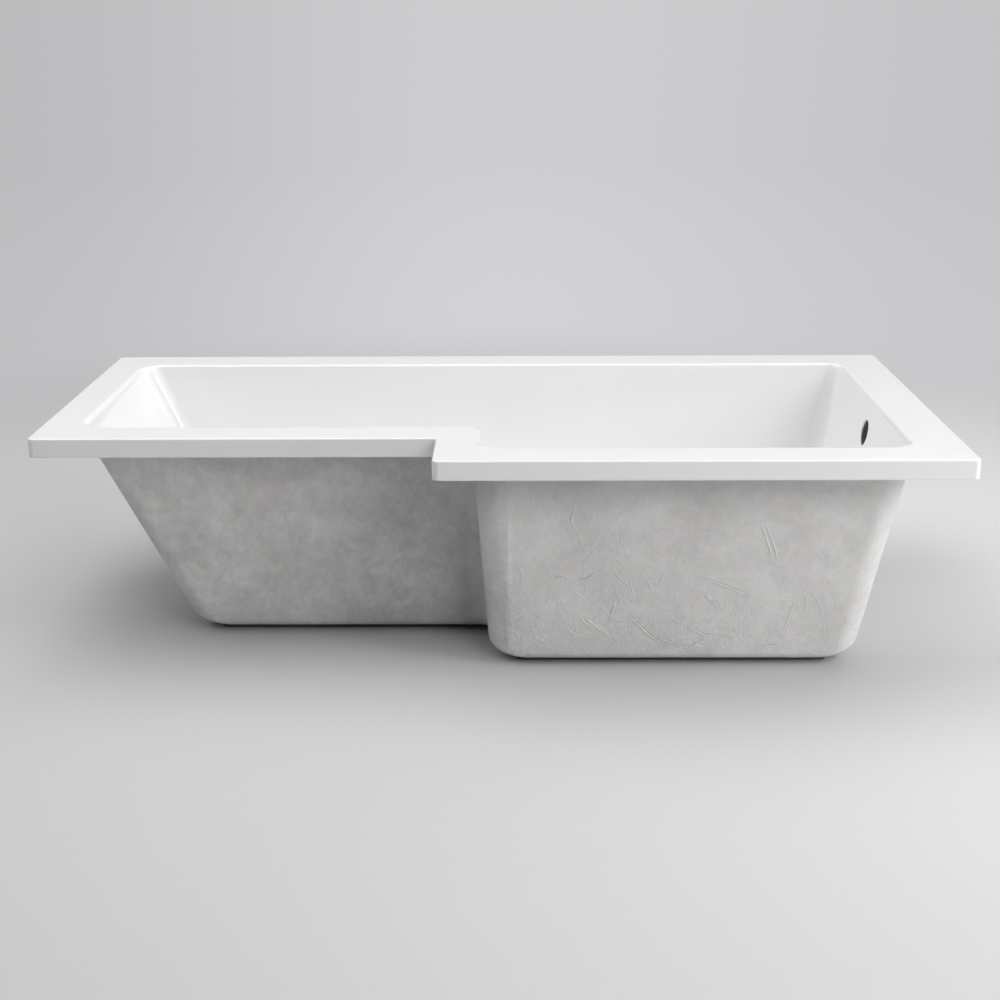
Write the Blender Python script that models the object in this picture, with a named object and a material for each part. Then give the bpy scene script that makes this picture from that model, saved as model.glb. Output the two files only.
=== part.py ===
"""Bare L-shaped shower bath: formed acrylic shell, glass-fibre laminate, rim battens and base boards.

Metres, +Z up. The origin lies on the floor below the middle of the rim's outline.
+X points to the foot end, where the overflow and the waste are, and -Y to the front.
"""
from math import cos, pi, radians, sin, tan

import bmesh
import bpy
from mathutils import Matrix, Vector

MM = 0.001

# The six sides of the L, counter-clockwise from above, and the clearance between bonded pieces
SIDES = HEAD, FRONT, STEP, SHOWER_FRONT, FOOT, REAR = range(6)
FIT = 0.3 * MM

# Rim outline
BATH_LENGTH = 1700 * MM
SHOWER_WIDTH = 850 * MM
STEP_DEPTH = 150 * MM
SHOWER_LENGTH = 950 * MM
LIP_HEIGHT = 36 * MM
LIP_CORNER_RADIUS = 12 * MM
LIP_STEP_RADIUS = 14 * MM
LIP_TOP_RADIUS = 5 * MM
LIP_FOOT_RADIUS = 2 * MM

# Thickness of each layer of the wall
ACRYLIC = 5 * MM
LAMINATE = 6 * MM
OVERLAMINATE = 2.5 * MM

# Tub, side by side in the order above: rim top to the laminate's underside is TUB_DEPTH
TUB_DEPTH = 420 * MM
FLANGE = (77 * MM, 86 * MM, 77 * MM, 88 * MM, 96 * MM, 92 * MM)
DRAFT = (radians(25), radians(6.3), radians(4), radians(4), radians(11), radians(5))
ROLL_RADIUS = (14 * MM, 8 * MM, 8 * MM, 8 * MM, 10 * MM, 8 * MM)
FLOOR_FILLET = (80 * MM, 35 * MM, 55 * MM, 35 * MM, 70 * MM, 45 * MM)
OUTER_FILLET = (55 * MM, 18 * MM, 42 * MM, 18 * MM, 50 * MM, 30 * MM)
WALL_CORNER_RADIUS = 45 * MM
FLOOR_CORNER_RADIUS = 60 * MM
WALL_STEP_RADIUS = 24 * MM
FLOOR_STEP_RADIUS = 40 * MM
COVE_RADIUS = 10 * MM
LEAST_RADIUS = 1 * MM

# Rim battens, set in a laminated channel behind the lip
RIM_SETBACK = 4 * MM
BATTEN_WIDTH = 32 * MM
BATTEN_HEIGHT = 18 * MM
BATTEN_EDGE = 1 * MM

# Base boards, encapsulated in a laminated pan under the floor
BASEBOARD = 9 * MM
PAN_SETBACK = 12 * MM

# Drilled holes, both on the middle line of the shower end
OVERFLOW_DROP = 66 * MM
OVERFLOW_DIAMETER = 52 * MM
WASTE_DIAMETER = 52 * MM
WASTE_SEAT_DIAMETER = 74 * MM
WASTE_DISH_DIAMETER = 86 * MM
WASTE_DISH_DEPTH = 3 * MM
WASTE_FROM_FLOOR_EDGE = 65 * MM
BOARD_HOLE_DIAMETER = 100 * MM

# Facets
CORNER_STEPS = 6
ROLL_STEPS = 4
FILLET_STEPS = 5
EDGE_STEPS = 3
HOLE_SIDES = 28
SMOOTH_ANGLE = radians(35)

# Heights and layers that follow
RIGHT_ANGLE = pi / 2
PAN_HEIGHT = OVERLAMINATE + FIT + BASEBOARD
PAD = PAN_HEIGHT + FIT
RIM_Z = PAD + TUB_DEPTH
LAMINATE_INNER = ACRYLIC + FIT
WALL = LAMINATE_INNER + LAMINATE
FLOOR_Z = PAD + WALL
FLANGE_UNDERSIDE = RIM_Z - WALL

# Direction along each side. The corner of the same number follows it, and one corner turns inwards
TRAVEL = [Vector(along) for along in ((0, -1), (1, 0), (0, -1), (1, 0), (0, 1), (-1, 0))]
REENTRANT = FRONT


def side_position(side, inset):
    """Coordinate, across the side, of a line set in from the rim's outer edge."""
    edges = {
        HEAD: -BATH_LENGTH / 2 + inset,
        FRONT: -SHOWER_WIDTH / 2 + STEP_DEPTH + inset,
        STEP: BATH_LENGTH / 2 - SHOWER_LENGTH + inset,
        SHOWER_FRONT: -SHOWER_WIDTH / 2 + inset,
        FOOT: BATH_LENGTH / 2 - inset,
        REAR: SHOWER_WIDTH / 2 - inset,
    }
    return edges[side]


def same(value):
    """One value for all six sides or corners."""
    return [value] * len(SIDES)


def ring(insets, heights, radii=None):
    """Points of one L-shaped loop: each side has an inset and a height, each corner a radius."""
    points = []
    for side, travel in enumerate(TRAVEL):
        following = (side + 1) % len(SIDES)
        places = (side_position(side, insets[side]), side_position(following, insets[following]))
        corner = Vector(places if travel.y else places[::-1])
        if radii is None:
            points.append((corner.x, corner.y, heights[side]))
            continue
        leave = TRAVEL[following]
        radius = max(radii[side], LEAST_RADIUS)
        centre = corner + (leave - travel) * radius
        for step in range(CORNER_STEPS + 1):
            share = step / CORNER_STEPS
            turn = share * RIGHT_ANGLE
            place = centre + (travel * sin(turn) - leave * cos(turn)) * radius
            height = heights[side] + (heights[following] - heights[side]) * share
            points.append((place.x, place.y, height))
    return points


def wall_inset(side, height):
    """How far the visible wall stands in from the rim's edge at a height."""
    return FLANGE[side] + (RIM_Z - height) * tan(DRAFT[side])


def roll_point(side, offset, radius, share):
    """Inset and height on the bend from flange (share 0) to wall (share 1), on a face set outwards."""
    slope = DRAFT[side]
    height = RIM_Z - offset - radius
    inset = wall_inset(side, height) - (offset + radius) / cos(slope)
    turn = share * (RIGHT_ANGLE - slope)
    return inset + radius * sin(turn), height + radius * cos(turn)


def fillet_point(side, offset, radius, share):
    """Inset and height on the bend from floor (share 0) to wall (share 1), on a face set outwards."""
    slope = DRAFT[side]
    height = FLOOR_Z - offset + radius
    inset = wall_inset(side, height) + (radius - offset) / cos(slope)
    turn = share * (RIGHT_ANGLE - slope)
    return inset - radius * sin(turn), height - radius * cos(turn)


def corner_radii(offset, drop, outward=None):
    """Plan radii of the tub's corners: drop is 0 at the rim and 1 at the floor."""
    outward = outward or same(0)
    radii = []
    for side in SIDES:
        spread = offset + (outward[side] + outward[(side + 1) % len(SIDES)]) / 2
        if side == REENTRANT:
            radii.append(WALL_STEP_RADIUS + (FLOOR_STEP_RADIUS - WALL_STEP_RADIUS) * drop - spread)
        else:
            radii.append(WALL_CORNER_RADIUS + (FLOOR_CORNER_RADIUS - WALL_CORNER_RADIUS) * drop + spread)
    return radii


def lip_radii(inset):
    """Plan radii of the rim's corners on a line set in from its edge."""
    radii = same(LIP_CORNER_RADIUS - inset)
    radii[REENTRANT] = LIP_STEP_RADIUS + inset
    return radii


def roll_rings(offset, radii_of_bend):
    """Loops of the bend between flange and wall, from the flange down."""
    rings = []
    for step in range(ROLL_STEPS + 1):
        spots = [roll_point(side, offset, radii_of_bend[side], step / ROLL_STEPS) for side in SIDES]
        insets, heights = zip(*spots)
        outward = [max(FLANGE[side] - offset - insets[side], 0) for side in SIDES]
        rings.append(ring(insets, heights, corner_radii(offset, 0, outward)))
    return rings


def fillet_rings(offset, radii_of_bend, floor_radii):
    """Loops of the bend between wall and floor, from the wall down."""
    rings = []
    for step in range(FILLET_STEPS, -1, -1):
        spots = [fillet_point(side, offset, radii_of_bend[side], step / FILLET_STEPS) for side in SIDES]
        insets, heights = zip(*spots)
        rings.append(ring(insets, heights, floor_radii))
    return rings


def flat_ring(inset, height, radii):
    """Loop at one height and one inset all round the rim."""
    return ring(same(inset), same(height), radii)


def circle(radius, height):
    """Loop round the waste's axis."""
    points = []
    for step in range(HOLE_SIDES):
        turn = 2 * pi * step / HOLE_SIDES
        points.append((WASTE_X + radius * cos(turn), DRAIN_Y + radius * sin(turn), height))
    return points


class Shell:
    """A closed skin made of loops that are bridged or filled."""

    def __init__(self):
        self.skin = bmesh.new()

    def loop(self, points):
        corners = [self.skin.verts.new(point) for point in points]
        for first, second in zip(corners, corners[1:] + corners[:1]):
            self.skin.edges.new((first, second))
        return corners

    def bridge(self, near, far):
        """Band of triangles, split the same way on every layer so that bonded faces stay parallel."""
        if near[0].co.z < far[0].co.z:
            near, far = far, near
        for index in range(len(near)):
            following = (index + 1) % len(near)
            self.skin.faces.new((near[index], near[following], far[following]))
            self.skin.faces.new((near[index], far[following], far[index]))

    def run(self, loops):
        for near, far in zip(loops, loops[1:]):
            self.bridge(near, far)

    def fill(self, *loops):
        """Flat face inside the first loop and outside the others."""
        edges = []
        for corners in loops:
            for first, second in zip(corners, corners[1:] + corners[:1]):
                edges.append(self.skin.edges.get((first, second)))
        bmesh.ops.triangle_fill(self.skin, use_beauty=True, edges=edges, normal=(0, 0, 1))

    def finish(self, name, material):
        bmesh.ops.recalc_face_normals(self.skin, faces=self.skin.faces)
        mesh = bpy.data.meshes.new(name)
        self.skin.to_mesh(mesh)
        self.skin.free()
        mesh.shade_smooth()
        mesh.set_sharp_from_angle(angle=SMOOTH_ANGLE)
        mesh.materials.append(material)
        piece = bpy.data.objects.new(name, mesh)
        bpy.context.scene.collection.objects.link(piece)
        return piece


def finish_material(name, colour, roughness):
    material = bpy.data.materials.new(name)
    material.use_nodes = True
    shader = material.node_tree.nodes["Principled BSDF"]
    shader.inputs["Base Color"].default_value = (*colour, 1)
    shader.inputs["Roughness"].default_value = roughness
    shader.inputs["Metallic"].default_value = 0
    return material


def clear_scene():
    for old in list(bpy.data.objects):
        bpy.data.objects.remove(old)


def make_acrylic_shell(material):
    """Formed sheet: floor, walls, flange and lip, dished and drilled for the waste."""
    shell = Shell()
    hidden_roll = [max(radius - ACRYLIC, LEAST_RADIUS) for radius in ROLL_RADIUS]
    hidden_fillet = [radius + ACRYLIC for radius in FLOOR_FILLET]
    visible = roll_rings(0, ROLL_RADIUS) + fillet_rings(0, FLOOR_FILLET, corner_radii(0, 1))
    hidden = roll_rings(ACRYLIC, hidden_roll)
    hidden += fillet_rings(ACRYLIC, hidden_fillet, corner_radii(ACRYLIC, 1))

    lip_foot = RIM_Z - LIP_HEIGHT
    lip = []
    for step in range(EDGE_STEPS + 1):
        turn = RIGHT_ANGLE * step / EDGE_STEPS
        inset = LIP_TOP_RADIUS * (1 - sin(turn))
        lip.append(flat_ring(inset, RIM_Z - LIP_TOP_RADIUS * (1 - cos(turn)), lip_radii(inset)))
    for step in range(EDGE_STEPS):
        turn = RIGHT_ANGLE * step / (EDGE_STEPS - 1)
        inset = LIP_FOOT_RADIUS * (1 - cos(turn))
        lip.append(flat_ring(inset, lip_foot + LIP_FOOT_RADIUS * (1 - sin(turn)), lip_radii(inset)))
    lip.append(flat_ring(ACRYLIC, lip_foot, lip_radii(ACRYLIC)))
    lip.append(flat_ring(ACRYLIC, RIM_Z - ACRYLIC, lip_radii(ACRYLIC)))

    loops = [shell.loop(points) for points in visible[::-1] + lip + hidden]
    shell.run(loops)

    dish = FLOOR_Z - WASTE_DISH_DEPTH
    drain = [shell.loop(circle(WASTE_DISH_DIAMETER / 2, FLOOR_Z))]
    drain.append(shell.loop(circle(WASTE_SEAT_DIAMETER / 2, dish)))
    drain.append(shell.loop(circle(WASTE_DIAMETER / 2, dish)))
    drain.append(shell.loop(circle(WASTE_DIAMETER / 2, dish - ACRYLIC)))
    drain.append(shell.loop(circle(WASTE_SEAT_DIAMETER / 2, dish - ACRYLIC)))
    drain.append(shell.loop(circle(WASTE_DISH_DIAMETER / 2, FLOOR_Z - ACRYLIC)))
    shell.run(drain)
    shell.fill(loops[0], drain[0])
    shell.fill(loops[-1], drain[-1])
    return shell.finish("acrylic_shell", material)


def make_tub_laminate(material):
    """Glass-fibre skin on the hidden side of the tub and flange."""
    shell = Shell()
    inner_roll = [max(radius - LAMINATE_INNER, LEAST_RADIUS) for radius in ROLL_RADIUS]
    inner_fillet = [radius + LAMINATE_INNER for radius in FLOOR_FILLET]
    inner = roll_rings(LAMINATE_INNER, inner_roll)
    inner += fillet_rings(LAMINATE_INNER, inner_fillet, corner_radii(LAMINATE_INNER, 1))

    outer_floor_radii = corner_radii(WALL, 0)
    outer_floor_radii[REENTRANT] = corner_radii(WALL, 1)[REENTRANT]
    outer = roll_rings(WALL, same(COVE_RADIUS)) + fillet_rings(WALL, OUTER_FILLET, outer_floor_radii)

    edge_inset = ACRYLIC + FIT
    edge = [flat_ring(edge_inset, RIM_Z - LAMINATE_INNER, lip_radii(edge_inset))]
    edge.append(flat_ring(edge_inset, FLANGE_UNDERSIDE, lip_radii(edge_inset)))

    loops = [shell.loop(points) for points in inner[::-1] + edge + outer]
    shell.run(loops)

    top = FLOOR_Z - LAMINATE_INNER
    drain = [shell.loop(circle(WASTE_DISH_DIAMETER / 2, top))]
    drain.append(shell.loop(circle(WASTE_SEAT_DIAMETER / 2, top - WASTE_DISH_DEPTH)))
    drain.append(shell.loop(circle(WASTE_DIAMETER / 2, top - WASTE_DISH_DEPTH)))
    drain.append(shell.loop(circle(WASTE_DIAMETER / 2, PAD)))
    shell.run(drain)
    shell.fill(loops[0], drain[0])
    shell.fill(loops[-1], drain[-1])
    return shell.finish("tub_laminate", material)


def batten_lines():
    """Insets of the batten's outer and inner faces from the rim's edge."""
    outer = ACRYLIC + RIM_SETBACK + OVERLAMINATE + FIT
    return outer, outer + BATTEN_WIDTH


def make_rim_overlaminate(material):
    """Channel of laminate that wraps the battens against the flange."""
    shell = Shell()
    outer, inner = batten_lines()
    top = FLANGE_UNDERSIDE - FIT
    cavity = top - BATTEN_HEIGHT - FIT
    bottom = cavity - OVERLAMINATE
    section = (
        (outer - FIT - OVERLAMINATE, top),
        (outer - FIT - OVERLAMINATE, bottom),
        (inner + FIT + OVERLAMINATE, bottom),
        (inner + FIT + OVERLAMINATE, top),
        (inner + FIT, top),
        (inner + FIT, cavity),
        (outer - FIT, cavity),
        (outer - FIT, top),
    )
    loops = [shell.loop(flat_ring(inset, height, None)) for inset, height in section]
    shell.run(loops + loops[:1])
    return shell.finish("rim_overlaminate", material)


def upright_walls(shell, outline, low, high):
    """Bottom and top loops of a rectangular block, with the walls between them."""
    left, near, right, far = outline
    corners = ((left, near), (right, near), (right, far), (left, far))
    bottom = shell.loop([(x, y, low) for x, y in corners])
    top = shell.loop([(x, y, high) for x, y in corners])
    shell.bridge(bottom, top)
    return bottom, top


def make_batten(name, outline, low, high, material):
    """Sawn timber with eased edges."""
    shell = Shell()
    bottom, top = upright_walls(shell, outline, low, high)
    shell.skin.faces.new(bottom)
    shell.skin.faces.new(top)
    piece = shell.finish(name, material)
    ease = piece.modifiers.new("eased edges", "BEVEL")
    ease.width = BATTEN_EDGE
    ease.segments = 1
    return piece


def make_battens(material):
    """Six battens, butted at the corners of the L."""
    outer, inner = batten_lines()
    high = FLANGE_UNDERSIDE - 2 * FIT
    low = high - BATTEN_HEIGHT

    out = [side_position(side, outer) for side in SIDES]
    into = [side_position(side, inner) for side in SIDES]
    outlines = {
        "rear_batten": (out[HEAD], into[REAR], out[FOOT], out[REAR]),
        "head_batten": (out[HEAD], out[FRONT], into[HEAD], into[REAR] - FIT),
        "front_batten": (into[HEAD] + FIT, out[FRONT], into[STEP], into[FRONT]),
        "step_batten": (out[STEP], into[SHOWER_FRONT] + FIT, into[STEP], out[FRONT] - FIT),
        "shower_front_batten": (out[STEP], out[SHOWER_FRONT], into[FOOT] - FIT, into[SHOWER_FRONT]),
        "foot_batten": (into[FOOT], out[SHOWER_FRONT], out[FOOT], into[REAR] - FIT),
    }
    for name, outline in outlines.items():
        make_batten(name, outline, low, high, material)


def pan_insets(extra):
    """Insets of the base pan's outline, or of a line further in, on each side."""
    return [fillet_point(side, WALL, OUTER_FILLET[side], 0)[0] + PAN_SETBACK + extra for side in SIDES]


def make_base_overlaminate(material):
    """Laminated pan that encloses the base boards and rests on the floor."""
    shell = Shell()
    outside = pan_insets(0)
    inside = pan_insets(OVERLAMINATE)
    hole = BOARD_HOLE_DIAMETER / 2
    walls = [
        shell.loop(ring(outside, same(0))),
        shell.loop(ring(outside, same(PAN_HEIGHT))),
        shell.loop(ring(inside, same(PAN_HEIGHT))),
        shell.loop(ring(inside, same(OVERLAMINATE))),
    ]
    shell.run(walls)
    collar = [
        shell.loop(circle(hole + OVERLAMINATE, OVERLAMINATE)),
        shell.loop(circle(hole + OVERLAMINATE, PAN_HEIGHT)),
        shell.loop(circle(hole, PAN_HEIGHT)),
        shell.loop(circle(hole, 0)),
    ]
    shell.run(collar)
    shell.fill(walls[-1], collar[0])
    shell.fill(walls[0], collar[-1])
    return shell.finish("base_overlaminate", material)


def make_board(name, outline, material, drilled=False):
    """Rectangular board in the pan, drilled clear of the waste if it covers it."""
    shell = Shell()
    low = OVERLAMINATE + FIT
    high = low + BASEBOARD
    bottom, top = upright_walls(shell, outline, low, high)
    if drilled:
        radius = BOARD_HOLE_DIAMETER / 2 + OVERLAMINATE + FIT
        bore = [shell.loop(circle(radius, low)), shell.loop(circle(radius, high))]
        shell.run(bore)
        shell.fill(bottom, bore[0])
        shell.fill(top, bore[1])
    else:
        shell.skin.faces.new(bottom)
        shell.skin.faces.new(top)
    return shell.finish(name, material)


def make_boards(material):
    """Two boards that meet under the step."""
    insets = pan_insets(OVERLAMINATE + FIT)
    edge = [side_position(side, insets[side]) for side in SIDES]
    make_board("bathing_baseboard", (edge[HEAD], edge[FRONT], edge[STEP] - FIT, edge[REAR]), material)
    make_board("shower_baseboard", (edge[STEP], edge[SHOWER_FRONT], edge[FOOT], edge[REAR]), material, True)


def drill_overflow(pieces):
    """Bore square through the foot wall's two layers."""
    height = RIM_Z - OVERFLOW_DROP
    middle = side_position(FOOT, wall_inset(FOOT, height))
    drill = bmesh.new()
    radius = OVERFLOW_DIAMETER / 2
    bmesh.ops.create_cone(
        drill, cap_ends=True, segments=HOLE_SIDES, radius1=radius, radius2=radius, depth=4 * WALL
    )
    mesh = bpy.data.meshes.new("overflow_drill")
    drill.to_mesh(mesh)
    drill.free()
    cutter = bpy.data.objects.new("overflow_drill", mesh)
    turn = Matrix.Rotation(RIGHT_ANGLE + DRAFT[FOOT], 4, "Y")
    cutter.matrix_world = Matrix.Translation((middle, DRAIN_Y, height)) @ turn
    cutter.hide_render = True
    cutter.display_type = "WIRE"
    bpy.context.scene.collection.objects.link(cutter)
    for piece in pieces:
        cut = piece.modifiers.new("overflow hole", "BOOLEAN")
        cut.operation = "DIFFERENCE"
        cut.solver = "EXACT"
        cut.object = cutter


# The waste stands in from the edge of the flat floor at the foot end, on the middle line
WASTE_X = side_position(FOOT, fillet_point(FOOT, 0, FLOOR_FILLET[FOOT], 0)[0] + WASTE_FROM_FLOOR_EDGE)
DRAIN_Y = (side_position(SHOWER_FRONT, 0) + side_position(REAR, 0)) / 2


def main():
    clear_scene()
    acrylic = finish_material("white acrylic", (0.86, 0.86, 0.855), 0.12)
    tub_glass = finish_material("grey laminate", (0.62, 0.613, 0.603), 0.62)
    rim_glass = finish_material("rim laminate", (0.55, 0.545, 0.535), 0.68)
    base_glass = finish_material("base laminate", (0.50, 0.495, 0.485), 0.7)
    softwood = finish_material("sawn softwood", (0.62, 0.45, 0.27), 0.75)
    chipboard = finish_material("chipboard", (0.52, 0.40, 0.26), 0.8)
    drill_overflow([make_acrylic_shell(acrylic), make_tub_laminate(tub_glass)])
    make_rim_overlaminate(rim_glass)
    make_battens(softwood)
    make_base_overlaminate(base_glass)
    make_boards(chipboard)


main()
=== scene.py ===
"""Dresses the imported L-shaped shower bath: glossy acrylic, hand-laid laminate and a pale studio.

Metres, +Z up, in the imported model's own frame: +X is the foot end with the overflow and the waste,
-Y is the front with the step. Every loop of the moulding follows the rules of the CAD solids on a
finer grid, and the hand-laid glass fibre gets its relief, folds and strands as real geometry.
"""
from math import cos, exp, pi, radians, sin, sqrt, tan

import bmesh
import bpy
from bpy.props import FloatProperty, FloatVectorProperty, IntProperty, PointerProperty
from mathutils import Matrix, Vector, noise


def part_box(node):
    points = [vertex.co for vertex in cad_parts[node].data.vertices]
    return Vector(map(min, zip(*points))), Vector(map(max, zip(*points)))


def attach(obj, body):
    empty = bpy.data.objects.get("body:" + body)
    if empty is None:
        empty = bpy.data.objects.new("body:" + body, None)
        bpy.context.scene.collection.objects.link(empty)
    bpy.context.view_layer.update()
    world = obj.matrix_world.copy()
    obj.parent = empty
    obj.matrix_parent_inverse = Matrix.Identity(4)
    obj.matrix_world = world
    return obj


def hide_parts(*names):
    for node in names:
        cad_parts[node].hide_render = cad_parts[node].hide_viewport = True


bl_info = {
    "name": "L-shaped shower bath",
    "version": (1, 0, 0),
    "blender": (4, 5, 0),
    "location": "3D View > Sidebar > Shower bath",
    "description": "Builds the acrylic, the laminates and the studio around a packed shower bath",
    "category": "Object",
}

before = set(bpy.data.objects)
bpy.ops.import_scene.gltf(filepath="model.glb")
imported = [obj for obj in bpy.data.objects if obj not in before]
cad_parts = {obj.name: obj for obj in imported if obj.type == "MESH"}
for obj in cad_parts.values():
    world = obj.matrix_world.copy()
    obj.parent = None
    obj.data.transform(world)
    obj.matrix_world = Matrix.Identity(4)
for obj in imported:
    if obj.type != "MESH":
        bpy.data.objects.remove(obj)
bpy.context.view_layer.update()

MM = 0.001
RIGHT_ANGLE = pi / 2

# The sides of the L, counter-clockwise from above, and the direction along each
SIDES = HEAD, FRONT, STEP, SHOWER_FRONT, FOOT, REAR = range(6)
TRAVEL = [Vector(along) for along in ((0, -1), (1, 0), (0, -1), (1, 0), (0, 1), (-1, 0))]
REENTRANT = FRONT

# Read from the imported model
RIM_LOW, RIM_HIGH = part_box("acrylic_shell")
PAN_LOW, PAN_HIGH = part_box("base_overlaminate")
CHANNEL_LOW, CHANNEL_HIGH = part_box("rim_overlaminate")
TUB_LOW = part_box("tub_laminate")[0]
FRONT_BATTEN_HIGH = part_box("front_batten")[1]

# Kept from the CAD model
FIT = 0.3 * MM
LEAST_RADIUS = 1 * MM
SMOOTH_ANGLE = radians(35)

SUPPORT = 2.5 * MM  # from a bend to the loop that keeps its shading to itself
PAN_SETBACK = 12 * MM  # from the edge of the tub's flat underside
DRILL_REACH = -25 * MM, 30 * MM  # in front of the tub's surface and behind it
HOLE_SIDES = 96
STRAND_FREE = 50 * MM  # no strands this close to a hole's middle
WELD = 0.02 * MM
FLOOR_RADIUS = 60
LAMP_TARGET = Vector((0, 0, 0.3))


def millimetres(name, description, size):
    return FloatProperty(name=name, description=description, default=size * MM, unit="LENGTH")


def millimetres_by_side(name, description, *sizes):
    return FloatVectorProperty(
        name=name, description=description, size=len(sizes),
        default=[size * MM for size in sizes], unit="LENGTH")


def watts(name, description, power):
    return FloatProperty(name=name, description=description, default=power, unit="POWER")


def tint(name, description, *channels):
    return FloatVectorProperty(
        name=name, description=description, size=3, default=channels, subtype="COLOR", min=0, max=1)


class BathSizes(bpy.types.PropertyGroup):
    """Sizes of the moulding. Vectors run head, front, step, shower front, foot, rear"""

    step_depth: millimetres("Step depth", "How far the narrow end's front stands back", 150)
    shower_length: millimetres("Shower length", "Rim length of the wide end", 950)
    lip_height: millimetres("Lip height", "Height of the rim's outer face", 36)
    lip_corner: millimetres("Lip corner radius", "Plan radius of the rim's outer corners", 12)
    lip_step: millimetres("Lip step radius", "Plan radius of the rim's inward corner", 8)
    lip_top: millimetres("Lip edge radius", "Rounding of the rim's top edge", 3)
    lip_foot: millimetres("Lip foot radius", "Rounding of the lip's lower edge", 2)
    acrylic: millimetres("Acrylic", "Thickness of the formed sheet", 5)
    laminate: millimetres("Laminate", "Thickness of the glass-fibre laminate on the tub", 6)
    overlaminate: millimetres(
        "Overlaminate", "Thickness of the laminate round battens and boards", 2.5)
    flange: millimetres_by_side(
        "Flange widths", "Rim edge to tub wall on each side", 77, 86, 77, 88, 96, 92)
    draft: FloatVectorProperty(
        name="Wall slopes", description="Slope of each wall from upright", size=6,
        default=[radians(slope) for slope in (25, 6.3, 4, 4, 11, 5)], unit="ROTATION")
    roll: millimetres_by_side(
        "Top bends", "Radius between flange and wall on each side", 14, 8, 8, 8, 10, 4.5)
    fillet: millimetres_by_side(
        "Floor bends", "Radius between floor and wall on each side", 80, 35, 55, 35, 70, 45)
    outer_fillet: millimetres_by_side(
        "Outer floor bends", "The same bends on the laminate's outside", 55, 18, 42, 18, 50, 30)
    wall_corner: millimetres_by_side(
        "Wall corner radii", "Plan radius under the top bend after each side",
        38, 24, 38, 38, 30, 40)
    floor_corner: millimetres_by_side(
        "Floor corner radii", "Plan radius at the floor after each side", 42, 62, 42, 42, 30, 42)
    corner_flare: FloatProperty(
        name="Corner flare", description="How much the corners open on the way up to the flange",
        default=1.1)
    cove: millimetres("Cove radius", "Bend of the laminate under the flange", 10)
    overflow_drop: millimetres("Overflow drop", "Rim top to the overflow's centre", 66)
    hole: millimetres("Hole diameter", "Diameter of the waste and overflow holes", 52)
    dish: millimetres("Dish diameter", "Diameter of the dish round the waste hole", 86)
    dish_seat: millimetres("Seat diameter", "Diameter of the flat seat in the dish", 74)
    dish_depth: millimetres("Dish depth", "Depth of the dish under the floor", 3)
    waste_setback: millimetres("Waste setback", "Edge of the flat floor to the waste's centre", 65)
    hole_edge: millimetres("Hole edge", "Width of the broken edge round the overflow hole", 0.8)
    board_hole: millimetres("Board hole", "Diameter of the clear hole in the base", 100)


class LaminateFinish(bpy.types.PropertyGroup):
    """Relief and colour of the hand-laid glass fibre"""

    swell: millimetres("Swell", "Height of the broad, slow unevenness", 0.55)
    trowel: millimetres("Roller marks", "Height of the marks that the laminating roller left", 0.22)
    fold_bead: millimetres("Fold bead", "Radius of the bead that makes a fold of the tissue", 2.5)
    fold_sink: millimetres("Fold sink", "How deep the bead's middle lies in the laminate", 1.45)
    fold_tone: FloatProperty(
        name="Fold tone", description="How much paler a fold is than the laminate under it",
        default=1.05)
    # The crease is a painted shadow line: a dark bead along the upper side of a fold
    crease: millimetres(
        "Crease", "Radius of the dark resin line along the upper side of a fold", 1.8)
    strand_density: FloatProperty(
        name="Strands", description="Chopped strands per square metre", default=900)
    strand_length: millimetres("Strand length", "Length of a chopped strand", 30)
    strand_width: millimetres("Strand width", "Width of a chopped strand", 1.5)
    strand_height: millimetres("Strand height", "How far a strand stands proud of the resin", 0.35)
    crumb: millimetres("Crumb", "Size of the crumbs of tissue at the shower's inner corner", 2.2)
    build_up: millimetres("Build-up", "Extra thickness of the laminate round the overflow hole", 3)
    crumb_density: FloatProperty(
        name="Crumbs", description="Crumbs per square metre", default=22000)
    seam: millimetres(
        "Seam", "Height of the tissue's overlap beside the shower's inner corner", 1.1)
    seed: IntProperty(name="Seed", description="Seed of everything random", default=7)
    pale: tint("Pale resin", "Colour of the thin, pale patches", 0.672, 0.666, 0.655)
    deep: tint("Deep resin", "Colour of the resin-rich patches", 0.593, 0.586, 0.574)
    shower_tone: FloatProperty(
        name="Shower end tone", description="How much paler the laminate is at the shower end",
        default=1.04)
    acrylic: tint("Acrylic", "Colour of the acrylic sheet", 0.852, 0.854, 0.855)


class Studio(bpy.types.PropertyGroup):
    """Floor, lamps and camera"""

    floor: tint("Floor", "Colour of the floor near the bath", 0.556, 0.552, 0.56)
    backdrop: tint("Backdrop", "Colour of the background behind the bath", 0.618, 0.607, 0.625)
    falloff: FloatVectorProperty(
        name="Backdrop falloff", description="Share of that colour at the left and at the right",
        size=2, default=(0.82, 0.9))
    world: FloatProperty(
        name="Fill", description="Strength of the even light from all round", default=0.07)
    overhead: watts("Overhead lamp", "Power of the soft lamp above", 61)
    head: watts("Head lamp", "Power of the soft lamp above the head end", 76.5)
    key: watts("Key lamp", "Power of the soft lamp at the right", 56)
    rear: watts("Rear lamp", "Power of the soft lamp behind, right", 34)
    front: watts("Front lamp", "Power of the soft lamp in front, right", 48)
    side: watts("Side lamp", "Power of the low lamp at the right", 27)
    left: watts("Left lamp", "Power of the soft lamp at the left", 5)
    lens: FloatProperty(
        name="Lens", description="Focal length in millimetres on a 36 mm sensor", default=54.763)
    camera: FloatVectorProperty(
        name="Camera place", description="Where the camera stands", size=3,
        default=(0.0531, -2.9466, RIM_HIGH.z + 0.7360), subtype="XYZ", unit="LENGTH")
    aim: FloatVectorProperty(
        name="Camera aim", description="Yaw, pitch down and roll of the camera", size=3,
        default=(radians(-0.786), radians(17.729), radians(-0.353)), unit="ROTATION")


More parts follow.
